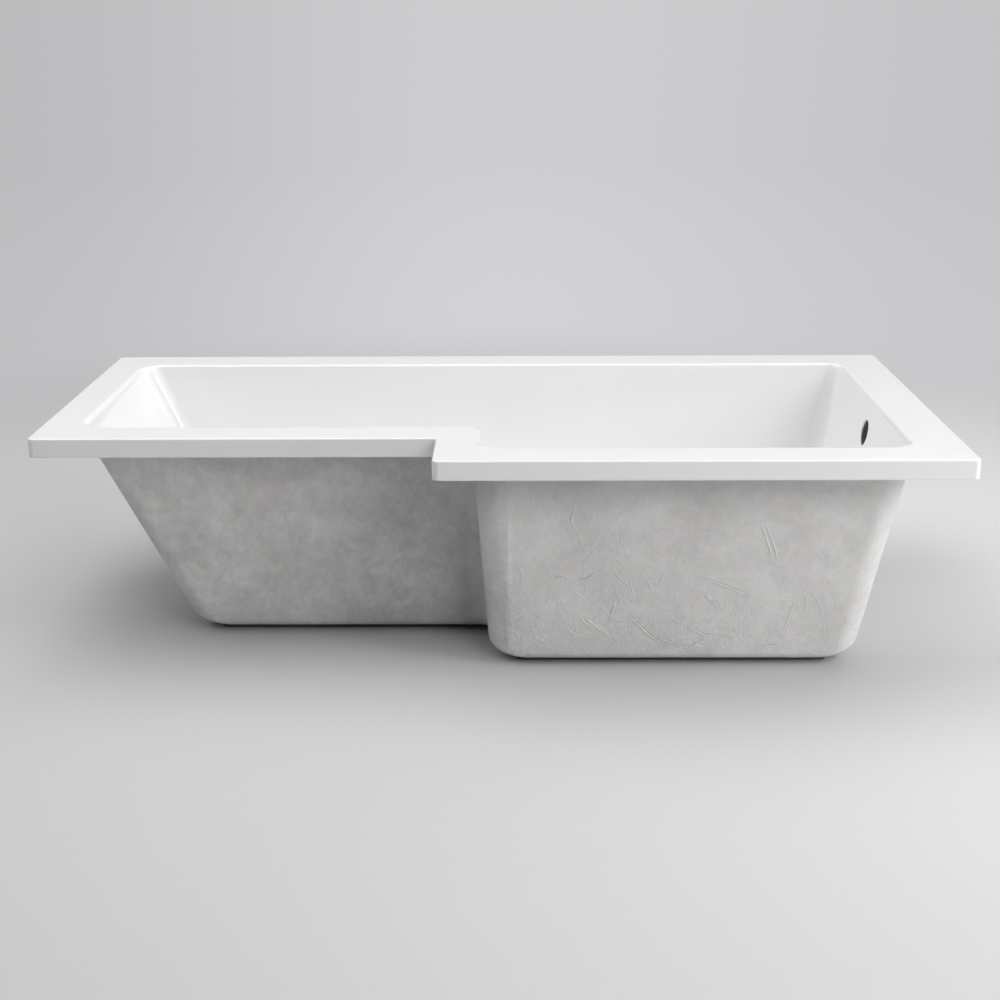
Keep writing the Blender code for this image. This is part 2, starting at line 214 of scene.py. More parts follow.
def quarter_turn(steps):
    """Sine and cosine in even steps over a right angle."""
    turns = [RIGHT_ANGLE * step / steps for step in range(steps + 1)]
    return [(sin(turn), cos(turn)) for turn in turns]


class Moulding:
    """Loops of the bath, all with the same points, so that any two can be bridged."""

    def __init__(self, sizes, corner_steps, spacing, support=SUPPORT):
        self.sizes = sizes
        self.corner_steps = corner_steps
        self.floor = TUB_LOW.z + sizes.laminate + FIT + sizes.acrylic
        self.along = []
        for side in SIDES:
            length = self.run_length(side)
            parts = max(2, round(length / spacing[side]))
            near = support / length
            self.along.append([near] + [part / parts for part in range(1, parts)] + [1 - near])

    def run_length(self, side):
        """Rough length of the straight wall on a side."""
        bend = self.sizes.wall_corner[REENTRANT - 1]
        corner = bend + self.sizes.flange[side]
        spans = (
            RIM_HIGH.y - RIM_LOW.y - self.sizes.step_depth - 2 * corner,
            RIM_HIGH.x - RIM_LOW.x - self.sizes.shower_length - bend,
            self.sizes.step_depth - bend,
            self.sizes.shower_length - 2 * corner,
            RIM_HIGH.y - RIM_LOW.y - 2 * corner,
            RIM_HIGH.x - RIM_LOW.x - 2 * corner,
        )
        return spans[side]

    def edge(self, side, inset):
        """Coordinate, across the side, of a line set in from the rim's edge."""
        edges = (
            RIM_LOW.x + inset,
            RIM_LOW.y + self.sizes.step_depth + inset,
            RIM_HIGH.x - self.sizes.shower_length + inset,
            RIM_LOW.y + inset,
            RIM_HIGH.x - inset,
            RIM_HIGH.y - inset,
        )
        return edges[side]

    def ring(self, insets, heights, radii):
        """One loop: each side has an inset and a height, and each corner a radius."""
        arcs = []
        for side in SIDES:
            following = (side + 1) % len(SIDES)
            places = (self.edge(side, insets[side]), self.edge(following, insets[following]))
            corner = Vector(places if TRAVEL[side].y else places[::-1])
            leave = TRAVEL[following]
            radius = max(radii[side], LEAST_RADIUS)
            centre = corner + (leave - TRAVEL[side]) * radius
            arc = []
            for step in range(self.corner_steps + 1):
                share = step / self.corner_steps
                turn = share * RIGHT_ANGLE
                place = centre + (TRAVEL[side] * sin(turn) - leave * cos(turn)) * radius
                height = heights[side] + (heights[following] - heights[side]) * share
                arc.append(Vector((place.x, place.y, height)))
            arcs.append(arc)
        points = []
        for side in SIDES:
            start, end = arcs[side - 1][-1], arcs[side][0]
            points += [start.lerp(end, share) for share in self.along[side]]
            points += arcs[side]
        return points

    def flat_ring(self, inset, height, radii):
        return self.ring([inset] * len(SIDES), [height] * len(SIDES), radii)

    def wall_inset(self, side, height):
        return self.sizes.flange[side] + (RIM_HIGH.z - height) * tan(self.sizes.draft[side])

    def roll_point(self, side, offset, radius, share):
        """Inset and height on the bend from flange (share 0) to wall (share 1)."""
        slope = self.sizes.draft[side]
        height = RIM_HIGH.z - offset - radius
        inset = self.wall_inset(side, height) - (offset + radius) / cos(slope)
        turn = share * (RIGHT_ANGLE - slope)
        return inset + radius * sin(turn), height + radius * cos(turn)

    def fillet_point(self, side, offset, radius, share):
        """Inset and height on the bend from floor (share 0) to wall (share 1)."""
        slope = self.sizes.draft[side]
        height = self.floor - offset + radius
        inset = self.wall_inset(side, height) + (radius - offset) / cos(slope)
        turn = share * (RIGHT_ANGLE - slope)
        return inset - radius * sin(turn), height - radius * cos(turn)

    def corner_radii(self, offset, drop, outward=(0,) * 6):
        """Plan radii of the tub's corners: drop is 0 at the rim and 1 at the floor."""
        sizes = self.sizes
        radii = []
        for side in SIDES:
            open_by = outward[side] + outward[(side + 1) % len(SIDES)]
            wall, floor = sizes.wall_corner[side], sizes.floor_corner[side]
            radius = wall + (floor - wall) * drop
            if side == REENTRANT:
                radii.append(radius - offset - open_by / 2)
            else:
                radii.append(radius + offset + open_by * sizes.corner_flare)
        return radii

    def lip_ring(self, inset, height):
        """Loop of the rim, set in from its edge."""
        radii = [self.sizes.lip_corner - inset] * len(SIDES)
        radii[REENTRANT] = self.sizes.lip_step + inset
        return self.flat_ring(inset, height, radii)

    def roll_rings(self, offset, bends, steps, lead=0):
        """Loops of the bend under the flange, from the flange down. A lead adds one before it."""
        rings = []
        shares = [step / steps for step in range(steps + 1)]
        for index, share in enumerate(([0] if lead else []) + shares):
            before = lead if lead and index == 0 else 0
            spots = [self.roll_point(side, offset, bends[side], share) for side in SIDES]
            insets = [inset - before for inset, height in spots]
            outward = [max(self.sizes.flange[side] - offset - insets[side], 0) for side in SIDES]
            radii = self.corner_radii(offset, 0, outward)
            rings.append(self.ring(insets, [height for inset, height in spots], radii))
        return rings

    def fillet_rings(self, offset, bends, steps, radii, lead=0):
        """Loops of the bend above the floor, from the wall down. A lead adds one after it."""
        rings = []
        for step in range(steps, -1, -1):
            spots = [self.fillet_point(side, offset, bends[side], step / steps) for side in SIDES]
            insets, heights = zip(*spots)
            rings.append(self.ring(insets, heights, radii))
        if lead:
            rings.append(self.ring([inset + lead for inset in insets], heights, radii))
        return rings

    def wall_rings(self, upper, lower, parts, support=SUPPORT):
        """Loops on the straight wall between two loops, with one close to each."""
        depth = (upper[0] - lower[0]).length
        near = support / depth
        shares = [near] + [part / parts for part in range(1, parts)] + [1 - near]
        return [[a.lerp(b, share) for a, b in zip(upper, lower)] for share in shares]

    def waste_place(self):
        inset = self.fillet_point(FOOT, 0, self.sizes.fillet[FOOT], 0)[0] + self.sizes.waste_setback
        return Vector((self.edge(FOOT, inset), (RIM_LOW.y + RIM_HIGH.y) / 2))

    def overflow_place(self, depth):
        """Point on the overflow's axis, a depth behind the tub's surface."""
        slope = self.sizes.draft[FOOT]
        height = RIM_HIGH.z - self.sizes.overflow_drop
        across = self.edge(FOOT, self.wall_inset(FOOT, height))
        middle = (RIM_LOW.y + RIM_HIGH.y) / 2
        return Vector((across + depth * cos(slope), middle, height - depth * sin(slope)))

    def circle(self, radius, height, sides=72):
        """Loop round the waste's axis."""
        middle = self.waste_place()
        points = []
        for side in range(sides):
            turn = 2 * pi * side / sides
            across, along = middle.x + radius * cos(turn), middle.y + radius * sin(turn)
            points.append(Vector((across, along, height)))
        return points


class Skin:
    """A closed mesh made of loops that are bridged or filled. Relief moves its outside."""

    def __init__(self):
        self.mesh = bmesh.new()
        self.outside = self.mesh.faces.layers.int.new("outside")
        self.uneven = {}

    def loop(self, points, weight=0):
        corners = [self.mesh.verts.new(point) for point in points]
        for first, second in zip(corners, corners[1:] + corners[:1]):
            self.mesh.edges.new((first, second))
        if weight:
            self.uneven.update((corner, weight) for corner in corners)
        return corners

    def run(self, loops, outside=0):
        for near, far in zip(loops, loops[1:]):
            for index in range(len(near)):
                following = (index + 1) % len(near)
                band = (near[index], near[following], far[following], far[index])
                self.mesh.faces.new(band)[self.outside] = outside

    def fill(self, *loops, outside=0):
        """Flat face inside the first loop and outside the others."""
        edges = []
        for corners in loops:
            for first, second in zip(corners, corners[1:] + corners[:1]):
                edges.append(self.mesh.edges.get((first, second)))
        made = bmesh.ops.triangle_fill(self.mesh, use_beauty=True, edges=edges, normal=(0, 0, 1))
        for item in made["geom"]:
            if isinstance(item, bmesh.types.BMFace):
                item[self.outside] = outside

    def relieve(self, height_at):
        """Moves the uneven corners along their normals by a height in metres."""
        bmesh.ops.recalc_face_normals(self.mesh, faces=self.mesh.faces)
        self.mesh.normal_update()
        moves = [(corner, corner.normal * height_at(corner.co) * weight)
                 for corner, weight in self.uneven.items()]
        for corner, move in moves:
            corner.co += move

    def finish(self, name, material):
        bmesh.ops.recalc_face_normals(self.mesh, faces=self.mesh.faces)
        return mesh_piece(name, made_mesh(name, self.mesh), material)


def add_object(name, data):
    """A new object in the scene."""
    made = bpy.data.objects.new(name, data)
    bpy.context.scene.collection.objects.link(made)
    return made


def made_mesh(name, shape):
    """Mesh of a bmesh, which is freed."""
    mesh = bpy.data.meshes.new(name)
    shape.to_mesh(mesh)
    shape.free()
    return mesh


def mesh_piece(name, mesh, *materials):
    """A finished, smooth-shaded piece at the origin."""
    mesh.name = name
    mesh.shade_smooth()
    mesh.set_sharp_from_angle(angle=SMOOTH_ANGLE)
    mesh.materials.clear()
    for material in materials:
        mesh.materials.append(material)
    return add_object(name, mesh)


def evaluated_mesh(piece):
    """The plain mesh that a piece's modifiers give. The piece itself is removed."""
    bpy.context.view_layer.update()
    shown = piece.evaluated_get(bpy.context.evaluated_depsgraph_get())
    mesh = bpy.data.meshes.new_from_object(shown)
    bpy.data.objects.remove(piece)
    return mesh


def place_piece(piece, slot, *nodes):
    """Parents a finished piece to the bath's one body and hides the solids it stands for."""
    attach(piece, "root")
    if nodes:
        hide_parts(*nodes)


SPAN_INPUTS = "From Min", "From Max", "To Min", "To Max"


class Nodes:
    """Adds nodes to a tree."""

    def __init__(self, tree):
        self.tree = tree

    def link(self, source, target):
        self.tree.links.new(source, target)

    def node(self, kind, inputs=None, **settings):
        """A new node. Its inputs are given by name or number, each as an output or a value."""
        node = self.tree.nodes.new(kind)
        for key, value in settings.items():
            setattr(node, key, value)
        for entry, value in (inputs or {}).items():
            if isinstance(value, bpy.types.NodeSocket):
                self.link(value, node.inputs[entry])
            else:
                node.inputs[entry].default_value = value
        return node

    def get(self, output, kind, inputs=None, **settings):
        """One output of a new node."""
        return self.node(kind, inputs, **settings).outputs[output]

    def number(self, operation, *values):
        """Result of a sum on numbers or outputs."""
        return self.get("Value", "ShaderNodeMath", dict(enumerate(values)), operation=operation)

    def vector(self, operation, *values):
        """Result of a sum on vectors."""
        inputs = dict(enumerate(values))
        return self.get("Vector", "ShaderNodeVectorMath", inputs, operation=operation)

    def scaled(self, vector, factor):
        """A vector or tone times a number that a pattern gives."""
        inputs = {0: vector, "Scale": factor}
        return self.get("Vector", "ShaderNodeVectorMath", inputs, operation="SCALE")

    def span(self, factor, low, high, to_low, to_high, curve="LINEAR"):
        """Number that goes from to_low to to_high as the factor goes from low to high."""
        inputs = dict(zip(SPAN_INPUTS, (low, high, to_low, to_high)), Value=factor)
        return self.get("Result", "ShaderNodeMapRange", inputs, interpolation_type=curve)


class Graph(Nodes):
    """Shader nodes that follow a coordinate."""

    def __init__(self, tree, coordinate):
        super().__init__(tree)
        self.place = self.get(coordinate, "ShaderNodeTexCoord")

    def noise(self, size, detail=3, roughness=0.55, reach=None, turn=(0, 0, 0), warp=0):
        """Cloudy pattern whose features are about size metres across. Reach draws them out."""
        place = self.place
        if reach:
            drawn = {"Vector": place, "Rotation": turn, "Scale": reach}
            place = self.get("Vector", "ShaderNodeMapping", drawn, vector_type="TEXTURE")
        return self.get("Fac", "ShaderNodeTexNoise", {
            "Vector": place, "Scale": 1 / size, "Detail": detail, "Roughness": roughness,
            "Distortion": warp})

    def ramp(self, factor, *stops, curve="LINEAR"):
        """Colour or grey that follows a factor: each stop is a position and a colour."""
        ramp = self.node("ShaderNodeValToRGB", {"Fac": factor})
        ramp.color_ramp.interpolation = curve
        points = ramp.color_ramp.elements
        while len(points) < len(stops):
            points.new(0.5)
        for point, (position, colour) in zip(points, stops):
            point.position = position
            grey = not hasattr(colour, "__len__")
            point.color = (colour, colour, colour, 1) if grey else (*colour, 1)
        return ramp.outputs["Color"]

    def shade(self, tone, pattern, depth):
        """The tone, made lighter and darker by about a share as a pattern goes up and down."""
        swing = self.number("MULTIPLY", self.number("SUBTRACT", pattern, 0.5), 5)
        return self.scaled(tone, self.number("MULTIPLY_ADD", swing, depth, 1))

    def axes(self):
        """The place's three coordinates, by axis."""
        return self.node("ShaderNodeSeparateXYZ", {"Vector": self.place}).outputs

    def backdrop(self, studio, near):
        """Background colour that falls off to the left and right. Near is metres to the viewer."""
        place = self.axes()
        away = self.number("ADD", self.number("ABSOLUTE", place["Y"]), near)
        sideways = self.number("DIVIDE", place["X"], away)
        left, right = studio.falloff
        colour = Vector(studio.backdrop)
        across = self.span(sideways, -0.34, 0.34, 0, 1)
        return self.ramp(
            across, (0, colour * left), (0.5, colour), (1, colour * right), curve="EASE")

    def mixed(self, share, first, second, output):
        """Sends two shaders, mixed by a share, to an output."""
        shader = self.get("Shader", "ShaderNodeMixShader", {"Fac": share, 1: first, 2: second})
        self.link(shader, self.tree.nodes[output].inputs["Surface"])

    def overlay(self, share, first, second):
        """The second colour laid over the first by a share."""
        inputs = {"Factor": share, 6: first, 7: second}
        return self.get(2, "ShaderNodeMix", inputs, data_type="RGBA", blend_type="OVERLAY")


class Finish(Graph):
    """A procedural material whose nodes read the piece's own coordinates."""

    def __init__(self, name, roughness):
        self.material = bpy.data.materials.new(name)
        self.material.use_nodes = True
        super().__init__(self.material.node_tree, "Object")
        self.shader = self.tree.nodes["Principled BSDF"]
        self.shader.inputs["Roughness"].default_value = roughness

    def colour(self, tone):
        self.link(tone, self.shader.inputs["Base Color"])

    def roughness(self, low, high, size, detail=3):
        """Duller and glossier patches, about size metres across."""
        patches = self.span(self.noise(size, detail), 0.3, 0.7, low, high)
        self.link(patches, self.shader.inputs["Roughness"])

    def bump(self, *layers):
        """Fine relief: each layer is a pattern and its height in metres."""
        under = {}
        for pattern, height in layers:
            inputs = {"Distance": height, "Height": pattern, **under}
            under = {"Normal": self.get("Normal", "ShaderNodeBump", inputs)}
        self.link(under["Normal"], self.shader.inputs["Normal"])


def acrylic_finish(colour):
    """White sheet: high gloss with the faintest draw-down ripple."""
    finish = Finish("gloss_acrylic", 0.12)
    clean = finish.noise(0.5, 2)
    dull = tuple(channel * 0.985 for channel in colour)
    finish.colour(finish.ramp(clean, (0.35, dull), (0.65, colour)))
    finish.roughness(0.09, 0.15, 0.12, 4)
    finish.shader.inputs["IOR"].default_value = 1.49
    finish.bump((finish.noise(0.09, 1), 0.12 * MM), (finish.noise(0.006, 1), 0.004 * MM))
    return finish.material


# Painted shade on the laminate at the narrow end beside the step, and the zone where it turns to the
# shower's tone
STEP_PAINTED_SHADE = 0.91
STEP_ZONE = -0.12, 0.04


def laminate_finish(name, pale, deep, shower_tone=1):
    """Hand-laid glass fibre: clouded resin, roller marks, and strands that print through, with
    painted light and shade along its length and a painted shadow under the rim.
    """
    finish = Finish(name, 0.6)
    tone = finish.ramp(finish.noise(0.17, 4, 0.55, warp=0.3), (0.36, deep), (0.64, pale))
    place = finish.axes()
    shower_end = finish.span(place["X"], *STEP_ZONE, 0, 1)
    # Painted light and shade along the length: the tone falls from 1.06 at the head end to the
    # painted shade beside the step, where the shower end shades it. It then rises across the step
    # zone to the shower end's paler tone, and is painted 5% lighter towards the right, which faces
    # the lamps there.
    for start, end, first, last in (
        (-0.5, -0.12, 1.06, STEP_PAINTED_SHADE), (*STEP_ZONE, 1, shower_tone / STEP_PAINTED_SHADE), (0.15, 0.5, 1, 1.05),
    ):
        tone = finish.scaled(tone, finish.span(place["X"], start, end, first, last))
    # Painted shadow of the rim at the shower end: the tone up to 12% darker towards the top of the
    # wall
    rim_shadow_band = finish.span(place["Z"], 0.29, 0.37, 0, 0.12)
    painted_rim_shadow = finish.number("MULTIPLY", shower_end, rim_shadow_band)
    tone = finish.scaled(tone, finish.number("SUBTRACT", 1, painted_rim_shadow))
    rough = finish.span(finish.noise(0.11, 3, 0.5, warp=0.5), 0.38, 0.62, 0.4, 1.5)
    for factor in (
        finish.span(place["Z"], 0.12, 0.3, 1.35, 0.75),
        finish.span(shower_end, 0, 1, 1, 1.25),
        finish.span(place["X"], 0.2, 0.65, 1, 0.6),
    ):
        rough = finish.number("MULTIPLY", rough, factor)
    rising, falling = [
        finish.noise(0.0035, 3, 0.65, reach=(1, 1, 3.2), turn=turn, warp=0.9)
        for turn in ((0.1, 0.5, 0), (-0.1, -0.3, 0))]
    lean = finish.span(finish.noise(0.05, 2, 0.5), 0.4, 0.6, 0.1, 0.9)
    strokes = finish.number("ADD", falling, finish.number(
        "MULTIPLY", lean, finish.number("SUBTRACT", rising, falling)))
    uneven = finish.number("MULTIPLY_ADD", finish.number("SUBTRACT", strokes, 0.5), rough, 0.5)
    grain = finish.noise(0.0028, 2, 0.65)
    tone = finish.shade(
        tone, finish.noise(0.05, 4, 0.65, warp=0.8), finish.span(shower_end, 0, 1, 0.115, 0.06))
    tone = finish.shade(
        tone, finish.noise(0.016, 3, 0.6, warp=0.6), finish.span(shower_end, 0, 1, 0.055, 0.03))
    tone = finish.shade(tone, uneven, 0.058)
    finish.colour(tone)
    finish.roughness(0.5, 0.72, 0.05, 4)
    rolled = finish.noise(0.02, 4, 0.62, reach=(2.5, 1, 0.8), turn=(0.2, 0.5, 0.3), warp=1.2)
    finish.bump(
        (rolled, 0.5 * MM),
        (uneven, 0.56 * MM),
        (grain, 0.09 * MM),
    )
    return finish.material


def timber_finish():
    """Sawn softwood: growth rings that run with the length of the batten."""
    finish = Finish("sawn_softwood", 0.75)
    drawn = {"Vector": finish.place, "Scale": (0.25, 1, 1)}
    place = finish.get("Vector", "ShaderNodeMapping", drawn)
    grain = finish.get(
        "Fac", "ShaderNodeTexWave", {"Vector": place, "Scale": 22, "Distortion": 7, "Detail": 3},
        wave_type="RINGS", rings_direction="X")
    rings = finish.ramp(grain, (0.1, (0.66, 0.49, 0.3)), (0.8, (0.5, 0.33, 0.17)))
    fibres = finish.ramp(finish.noise(0.004), (0.3, 0.35), (0.7, 0.65))
    finish.colour(finish.overlay(0.3, rings, fibres))
    finish.roughness(0.65, 0.85, 0.01)
    finish.bump((grain, 0.1 * MM), (finish.noise(0.0015), 0.1 * MM))
    return finish.material


def chipboard_finish():
    """Raw chipboard: pressed flakes in pale and dark browns."""
    finish = Finish("raw_chipboard", 0.85)
    cells = {"Vector": finish.place, "Scale": 1 / 0.006}
    flakes = finish.node("ShaderNodeTexVoronoi", cells).outputs
    finish.colour(finish.ramp(
        flakes["Color"],
        (0.1, (0.42, 0.3, 0.17)), (0.5, (0.56, 0.43, 0.27)), (0.9, (0.66, 0.54, 0.37))))
    finish.roughness(0.75, 0.95, 0.004)
    finish.bump((flakes["Distance"], 0.2 * MM), (finish.noise(0.001), 0.08 * MM))
    return finish.material


def crease_shadow_finish(look):
    """Painted shadow: a dark line along the upper side of a fold, where its shade falls."""
    finish = Finish("resin_crease", 0.5)
    deep = Vector(look.deep) * look.shower_tone
    finish.colour(finish.ramp(finish.noise(0.012, 3), (0.35, deep * 0.48), (0.65, deep * 0.72)))
    finish.roughness(0.4, 0.6, 0.01)
    finish.bump((finish.noise(0.002, 2), 0.05 * MM))
    return finish.material


def hole_shade_finish(name):
    """Drilled edge, painted nearly black as the shade inside the overflow hole: dull and gritty."""
    finish = Finish(name, 0.8)
    dark, grit = (0.03, 0.03, 0.029), (0.065, 0.063, 0.06)
    finish.colour(finish.ramp(finish.noise(0.002, 4), (0.3, dark), (0.7, grit)))
    finish.roughness(0.7, 0.9, 0.003)
    finish.bump((finish.noise(0.001, 2), 0.1 * MM))
    return finish.material


def soft_step(value, start, end):
    """0 before the start, 1 after the end and smooth between."""
    share = min(max((value - start) / (end - start), 0), 1)
    return share * share * (3 - 2 * share)


# How far the roller's strokes wander, and where the layers round the overflow hole end
BEND_REACH = 0.03
LAYERS_EDGE = -70 * MM, -46 * MM

# The tissue's seam beside the shower's inner corner, and the box in which the tissue is crumbled
SEAM_ALONG = 131 * MM
SEAM_INSET = 110 * MM
SEAM_WIDTH = 6 * MM
SEAM_FOOT = 10 * MM, 60 * MM
SEAM_HEAD = -390 * MM, -320 * MM
CRUMBLED_ALONG = 20 * MM, 58 * MM
CRUMBLED_UP = 28 * MM, 178 * MM


def relief(finish, hole=None, seam=None):
    """Height of the hand-laid surface over its true form, as a function of the place.

    A hole is the middle of the extra layers, a seam where the tissue overlaps on the front."""

    def height_at(place):
        swell = noise.noise(place * 4.3) + 0.5 * noise.noise(place * 9.7 + Vector((3.1, 0, 0)))
        first, second = noise.noise(place * 7), noise.noise(place * 7 + Vector((5, 5, 5)))
        bent = place + Vector((first, second, 0)) * BEND_REACH
        stroke = Vector((bent.x * 17 + bent.z * 11, bent.y * 17, bent.z * 34 - bent.x * 7))
        marks = noise.noise(stroke) + 0.6 * noise.noise(stroke * 2.3)
        height = swell * finish.swell + marks * finish.trowel
        if hole:
            height += finish.build_up * soft_step(-(place - hole).length, *LAYERS_EDGE)
        if seam and place.y < seam.y:
            ends = soft_step(place.z, *SEAM_FOOT) * soft_step(-place.z, *SEAM_HEAD)
            height += finish.seam * ends * exp(-((place.x - seam.x) / SEAM_WIDTH) ** 2)
        return height

    return height_at


def drilled(piece, moulding, bore, face, clean=0):
    """The piece with the overflow hole through the foot wall, its edge broken at a face.

    The face is how far, square to the wall, that face lies behind the tub's surface. Behind the
    edge, the bore keeps the piece's own finish over a clean depth and then has the bore finish,
    which is painted shade."""
    sizes = moulding.sizes
    radius, broken, lead = sizes.hole / 2, sizes.hole_edge, 1 * MM
    drill = bmesh.new()
    rings = []
    wide = radius + broken + lead
    spots = [(wide, DRILL_REACH[0]), (wide, face - lead), (radius, face + broken)]
    if clean:
        spots.append((radius, face + broken + clean))
    for reach, depth in spots + [(radius, DRILL_REACH[1])]:
        ring = []
        for side in range(HOLE_SIDES):
            turn = 2 * pi * side / HOLE_SIDES
            ring.append(drill.verts.new((reach * cos(turn), reach * sin(turn), depth)))
        rings.append(ring)
    for band, (near, far) in enumerate(zip(rings, rings[1:])):
        for side in range(HOLE_SIDES):
            following = (side + 1) % HOLE_SIDES
            made = drill.faces.new((near[side], near[following], far[following], far[side]))
            made.material_index = band // (len(rings) - 2)
    drill.faces.new(rings[0][::-1])
    drill.faces.new(rings[-1])
    bmesh.ops.recalc_face_normals(drill, faces=drill.faces)
    mesh = made_mesh("overflow_drill", drill)
    materials = [piece.data.materials[0], bore]
    for material in materials:
        mesh.materials.append(material)
    cutter = add_object("overflow_drill", mesh)
    turn = Matrix.Rotation(RIGHT_ANGLE + sizes.draft[FOOT], 4, "Y")
    cutter.matrix_world = Matrix.Translation(moulding.overflow_place(0)) @ turn
    cut = piece.modifiers.new("overflow hole", "BOOLEAN")
    cut.operation = "DIFFERENCE"
    cut.solver = "EXACT"
    cut.material_mode = "TRANSFER"
    cut.object = cutter
    name = piece.name
    result = evaluated_mesh(piece)
    bpy.data.objects.remove(cutter)
    weld = bmesh.new()
    weld.from_mesh(result)
    bmesh.ops.remove_doubles(weld, verts=weld.verts, dist=WELD)
    bmesh.ops.dissolve_degenerate(weld, edges=weld.edges, dist=WELD)
    weld.to_mesh(result)
    weld.free()
    places = [materials.index(material) for material in result.materials]
    indices = [places[face.material_index] for face in result.polygons]
    done = mesh_piece(name, result, *materials)
    for face, index in zip(done.data.polygons, indices):
        face.material_index = index
    return done


def mark_zones(piece, holes, crumbled):
    """Keeps strands off the holes, and marks the box in which the tissue is crumbled."""
    for face, zone in zip(piece.data.polygons, piece.data.attributes["outside"].data):
        spot = zip(face.center, crumbled)
        if any((face.center - hole).length < STRAND_FREE for hole in holes):
            zone.value = 0
        elif zone.value and all(low < place < high for place, (low, high) in spot):
            zone.value = 2


class Modelling(Nodes):
    """Geometry nodes that take a mesh, the named inputs and a material."""

    def __init__(self, name, **inputs):
        super().__init__(bpy.data.node_groups.new(name, "GeometryNodeTree"))
        sockets = [("Geometry", "INPUT", "Geometry")]
        sockets += [(label.replace("_", " "), "INPUT", kind) for label, kind in inputs.items()]
        sockets += [("Finish", "INPUT", "Material"), ("Geometry", "OUTPUT", "Geometry")]
        for label, way, kind in sockets:
            self.tree.interface.new_socket(label, in_out=way, socket_type="NodeSocket" + kind)
        self.given = self.node("NodeGroupInput").outputs

    def attribute(self, name, kind="FLOAT"):
        named = {"Name": name}
        return self.get("Attribute", "GeometryNodeInputNamedAttribute", named, data_type=kind)

    def axes(self, **parts):
        return self.get("Vector", "ShaderNodeCombineXYZ", parts)

    def random(self, low, high):
        limits = {2: low, 3: high, "Seed": self.given["Seed"]}
        return self.get("Value", "FunctionNodeRandomValue", limits, data_type="FLOAT")

    def nearest(self, surface):
        """Place and normal of the surface's nearest point."""
        target = {"Target": surface}
        place = self.get("Position", "GeometryNodeProximity", target, target_element="FACES")
        inputs = {"Mesh": surface, "Value": self.get("Normal", "GeometryNodeInputNormal")}
        kind = "GeometryNodeSampleNearestSurface"
        return place, self.get("Value", kind, inputs, data_type="FLOAT_VECTOR")

    def settled(self, geometry, place):
        moved = {"Geometry": geometry, "Position": place}
        return self.get("Geometry", "GeometryNodeSetPosition", moved)

    def swept(self, line, section, **scale):
        inputs = {"Curve": line, "Profile Curve": section, "Fill Caps": True, **scale}
        return self.get("Mesh", "GeometryNodeCurveToMesh", inputs)

    def realized(self, geometry):
        return self.get("Geometry", "GeometryNodeRealizeInstances", {"Geometry": geometry})

    def finish(self, geometry):
        """The whole tree, with the geometry, in its material, as its result."""
        painted = {"Geometry": geometry, "Material": self.given["Finish"]}
        result = self.get("Geometry", "GeometryNodeSetMaterial", painted)
        self.node("NodeGroupOutput", {"Geometry": result})
        return self.tree


def run_tree(name, mesh, tree, values):
    """Applies a tree to a mesh: inputs are set by their sockets' identifiers."""
    source = add_object(name, mesh)
    modifier = source.modifiers.new(tree.name, "NODES")
    modifier.node_group = tree
    for item in tree.interface.items_tree:
        if item.item_type == "SOCKET" and item.in_out == "INPUT" and item.name in values:
            modifier[item.identifier] = values[item.name]
    return evaluated_mesh(source)


def fold_tree():
    """Beads that follow drawn lines and lie half sunk in a surface, tapered at their ends."""
    tree = Modelling(
        "Folds on a surface", Surface="Object", Bead_radius="Float", Sink="Float", Spacing="Float")
    given = tree.given
    drawn = tree.get("Curve", "GeometryNodeMeshToCurve", {"Mesh": given["Geometry"]})
    steps = {"Curve": drawn, "Length": given["Spacing"]}
    lines = tree.get("Curve", "GeometryNodeResampleCurve", steps, mode="LENGTH")
    surface = tree.get("Geometry", "GeometryNodeObjectInfo", {"Object": given["Surface"]})
    place, normal = tree.nearest(surface)
    strength = tree.attribute("strength")
    depth = tree.scaled(normal, tree.number("MULTIPLY", given["Sink"], strength))
    lines = tree.settled(lines, tree.vector("SUBTRACT", place, depth))
    along = tree.get("Factor", "GeometryNodeSplineParameter")
    fullness = tree.number("POWER", tree.number("SINE", tree.number("MULTIPLY", along, pi)), 0.7)
    wander = tree.get("Fac", "ShaderNodeTexNoise", {"Scale": 70})
    uneven = tree.span(wander, 0.35, 0.65, 0.92, 1.08)
    width = tree.number("MULTIPLY", tree.span(fullness, 0, 1, 0.7, 1), uneven)
    circle = {"Resolution": 14, "Radius": given["Bead radius"]}
    section = tree.get("Curve", "GeometryNodeCurvePrimitiveCircle", circle, mode="RADIUS")
    beads = tree.swept(lines, section, Scale=tree.number("MULTIPLY", width, strength))
    return tree.finish(tree.realized(beads))


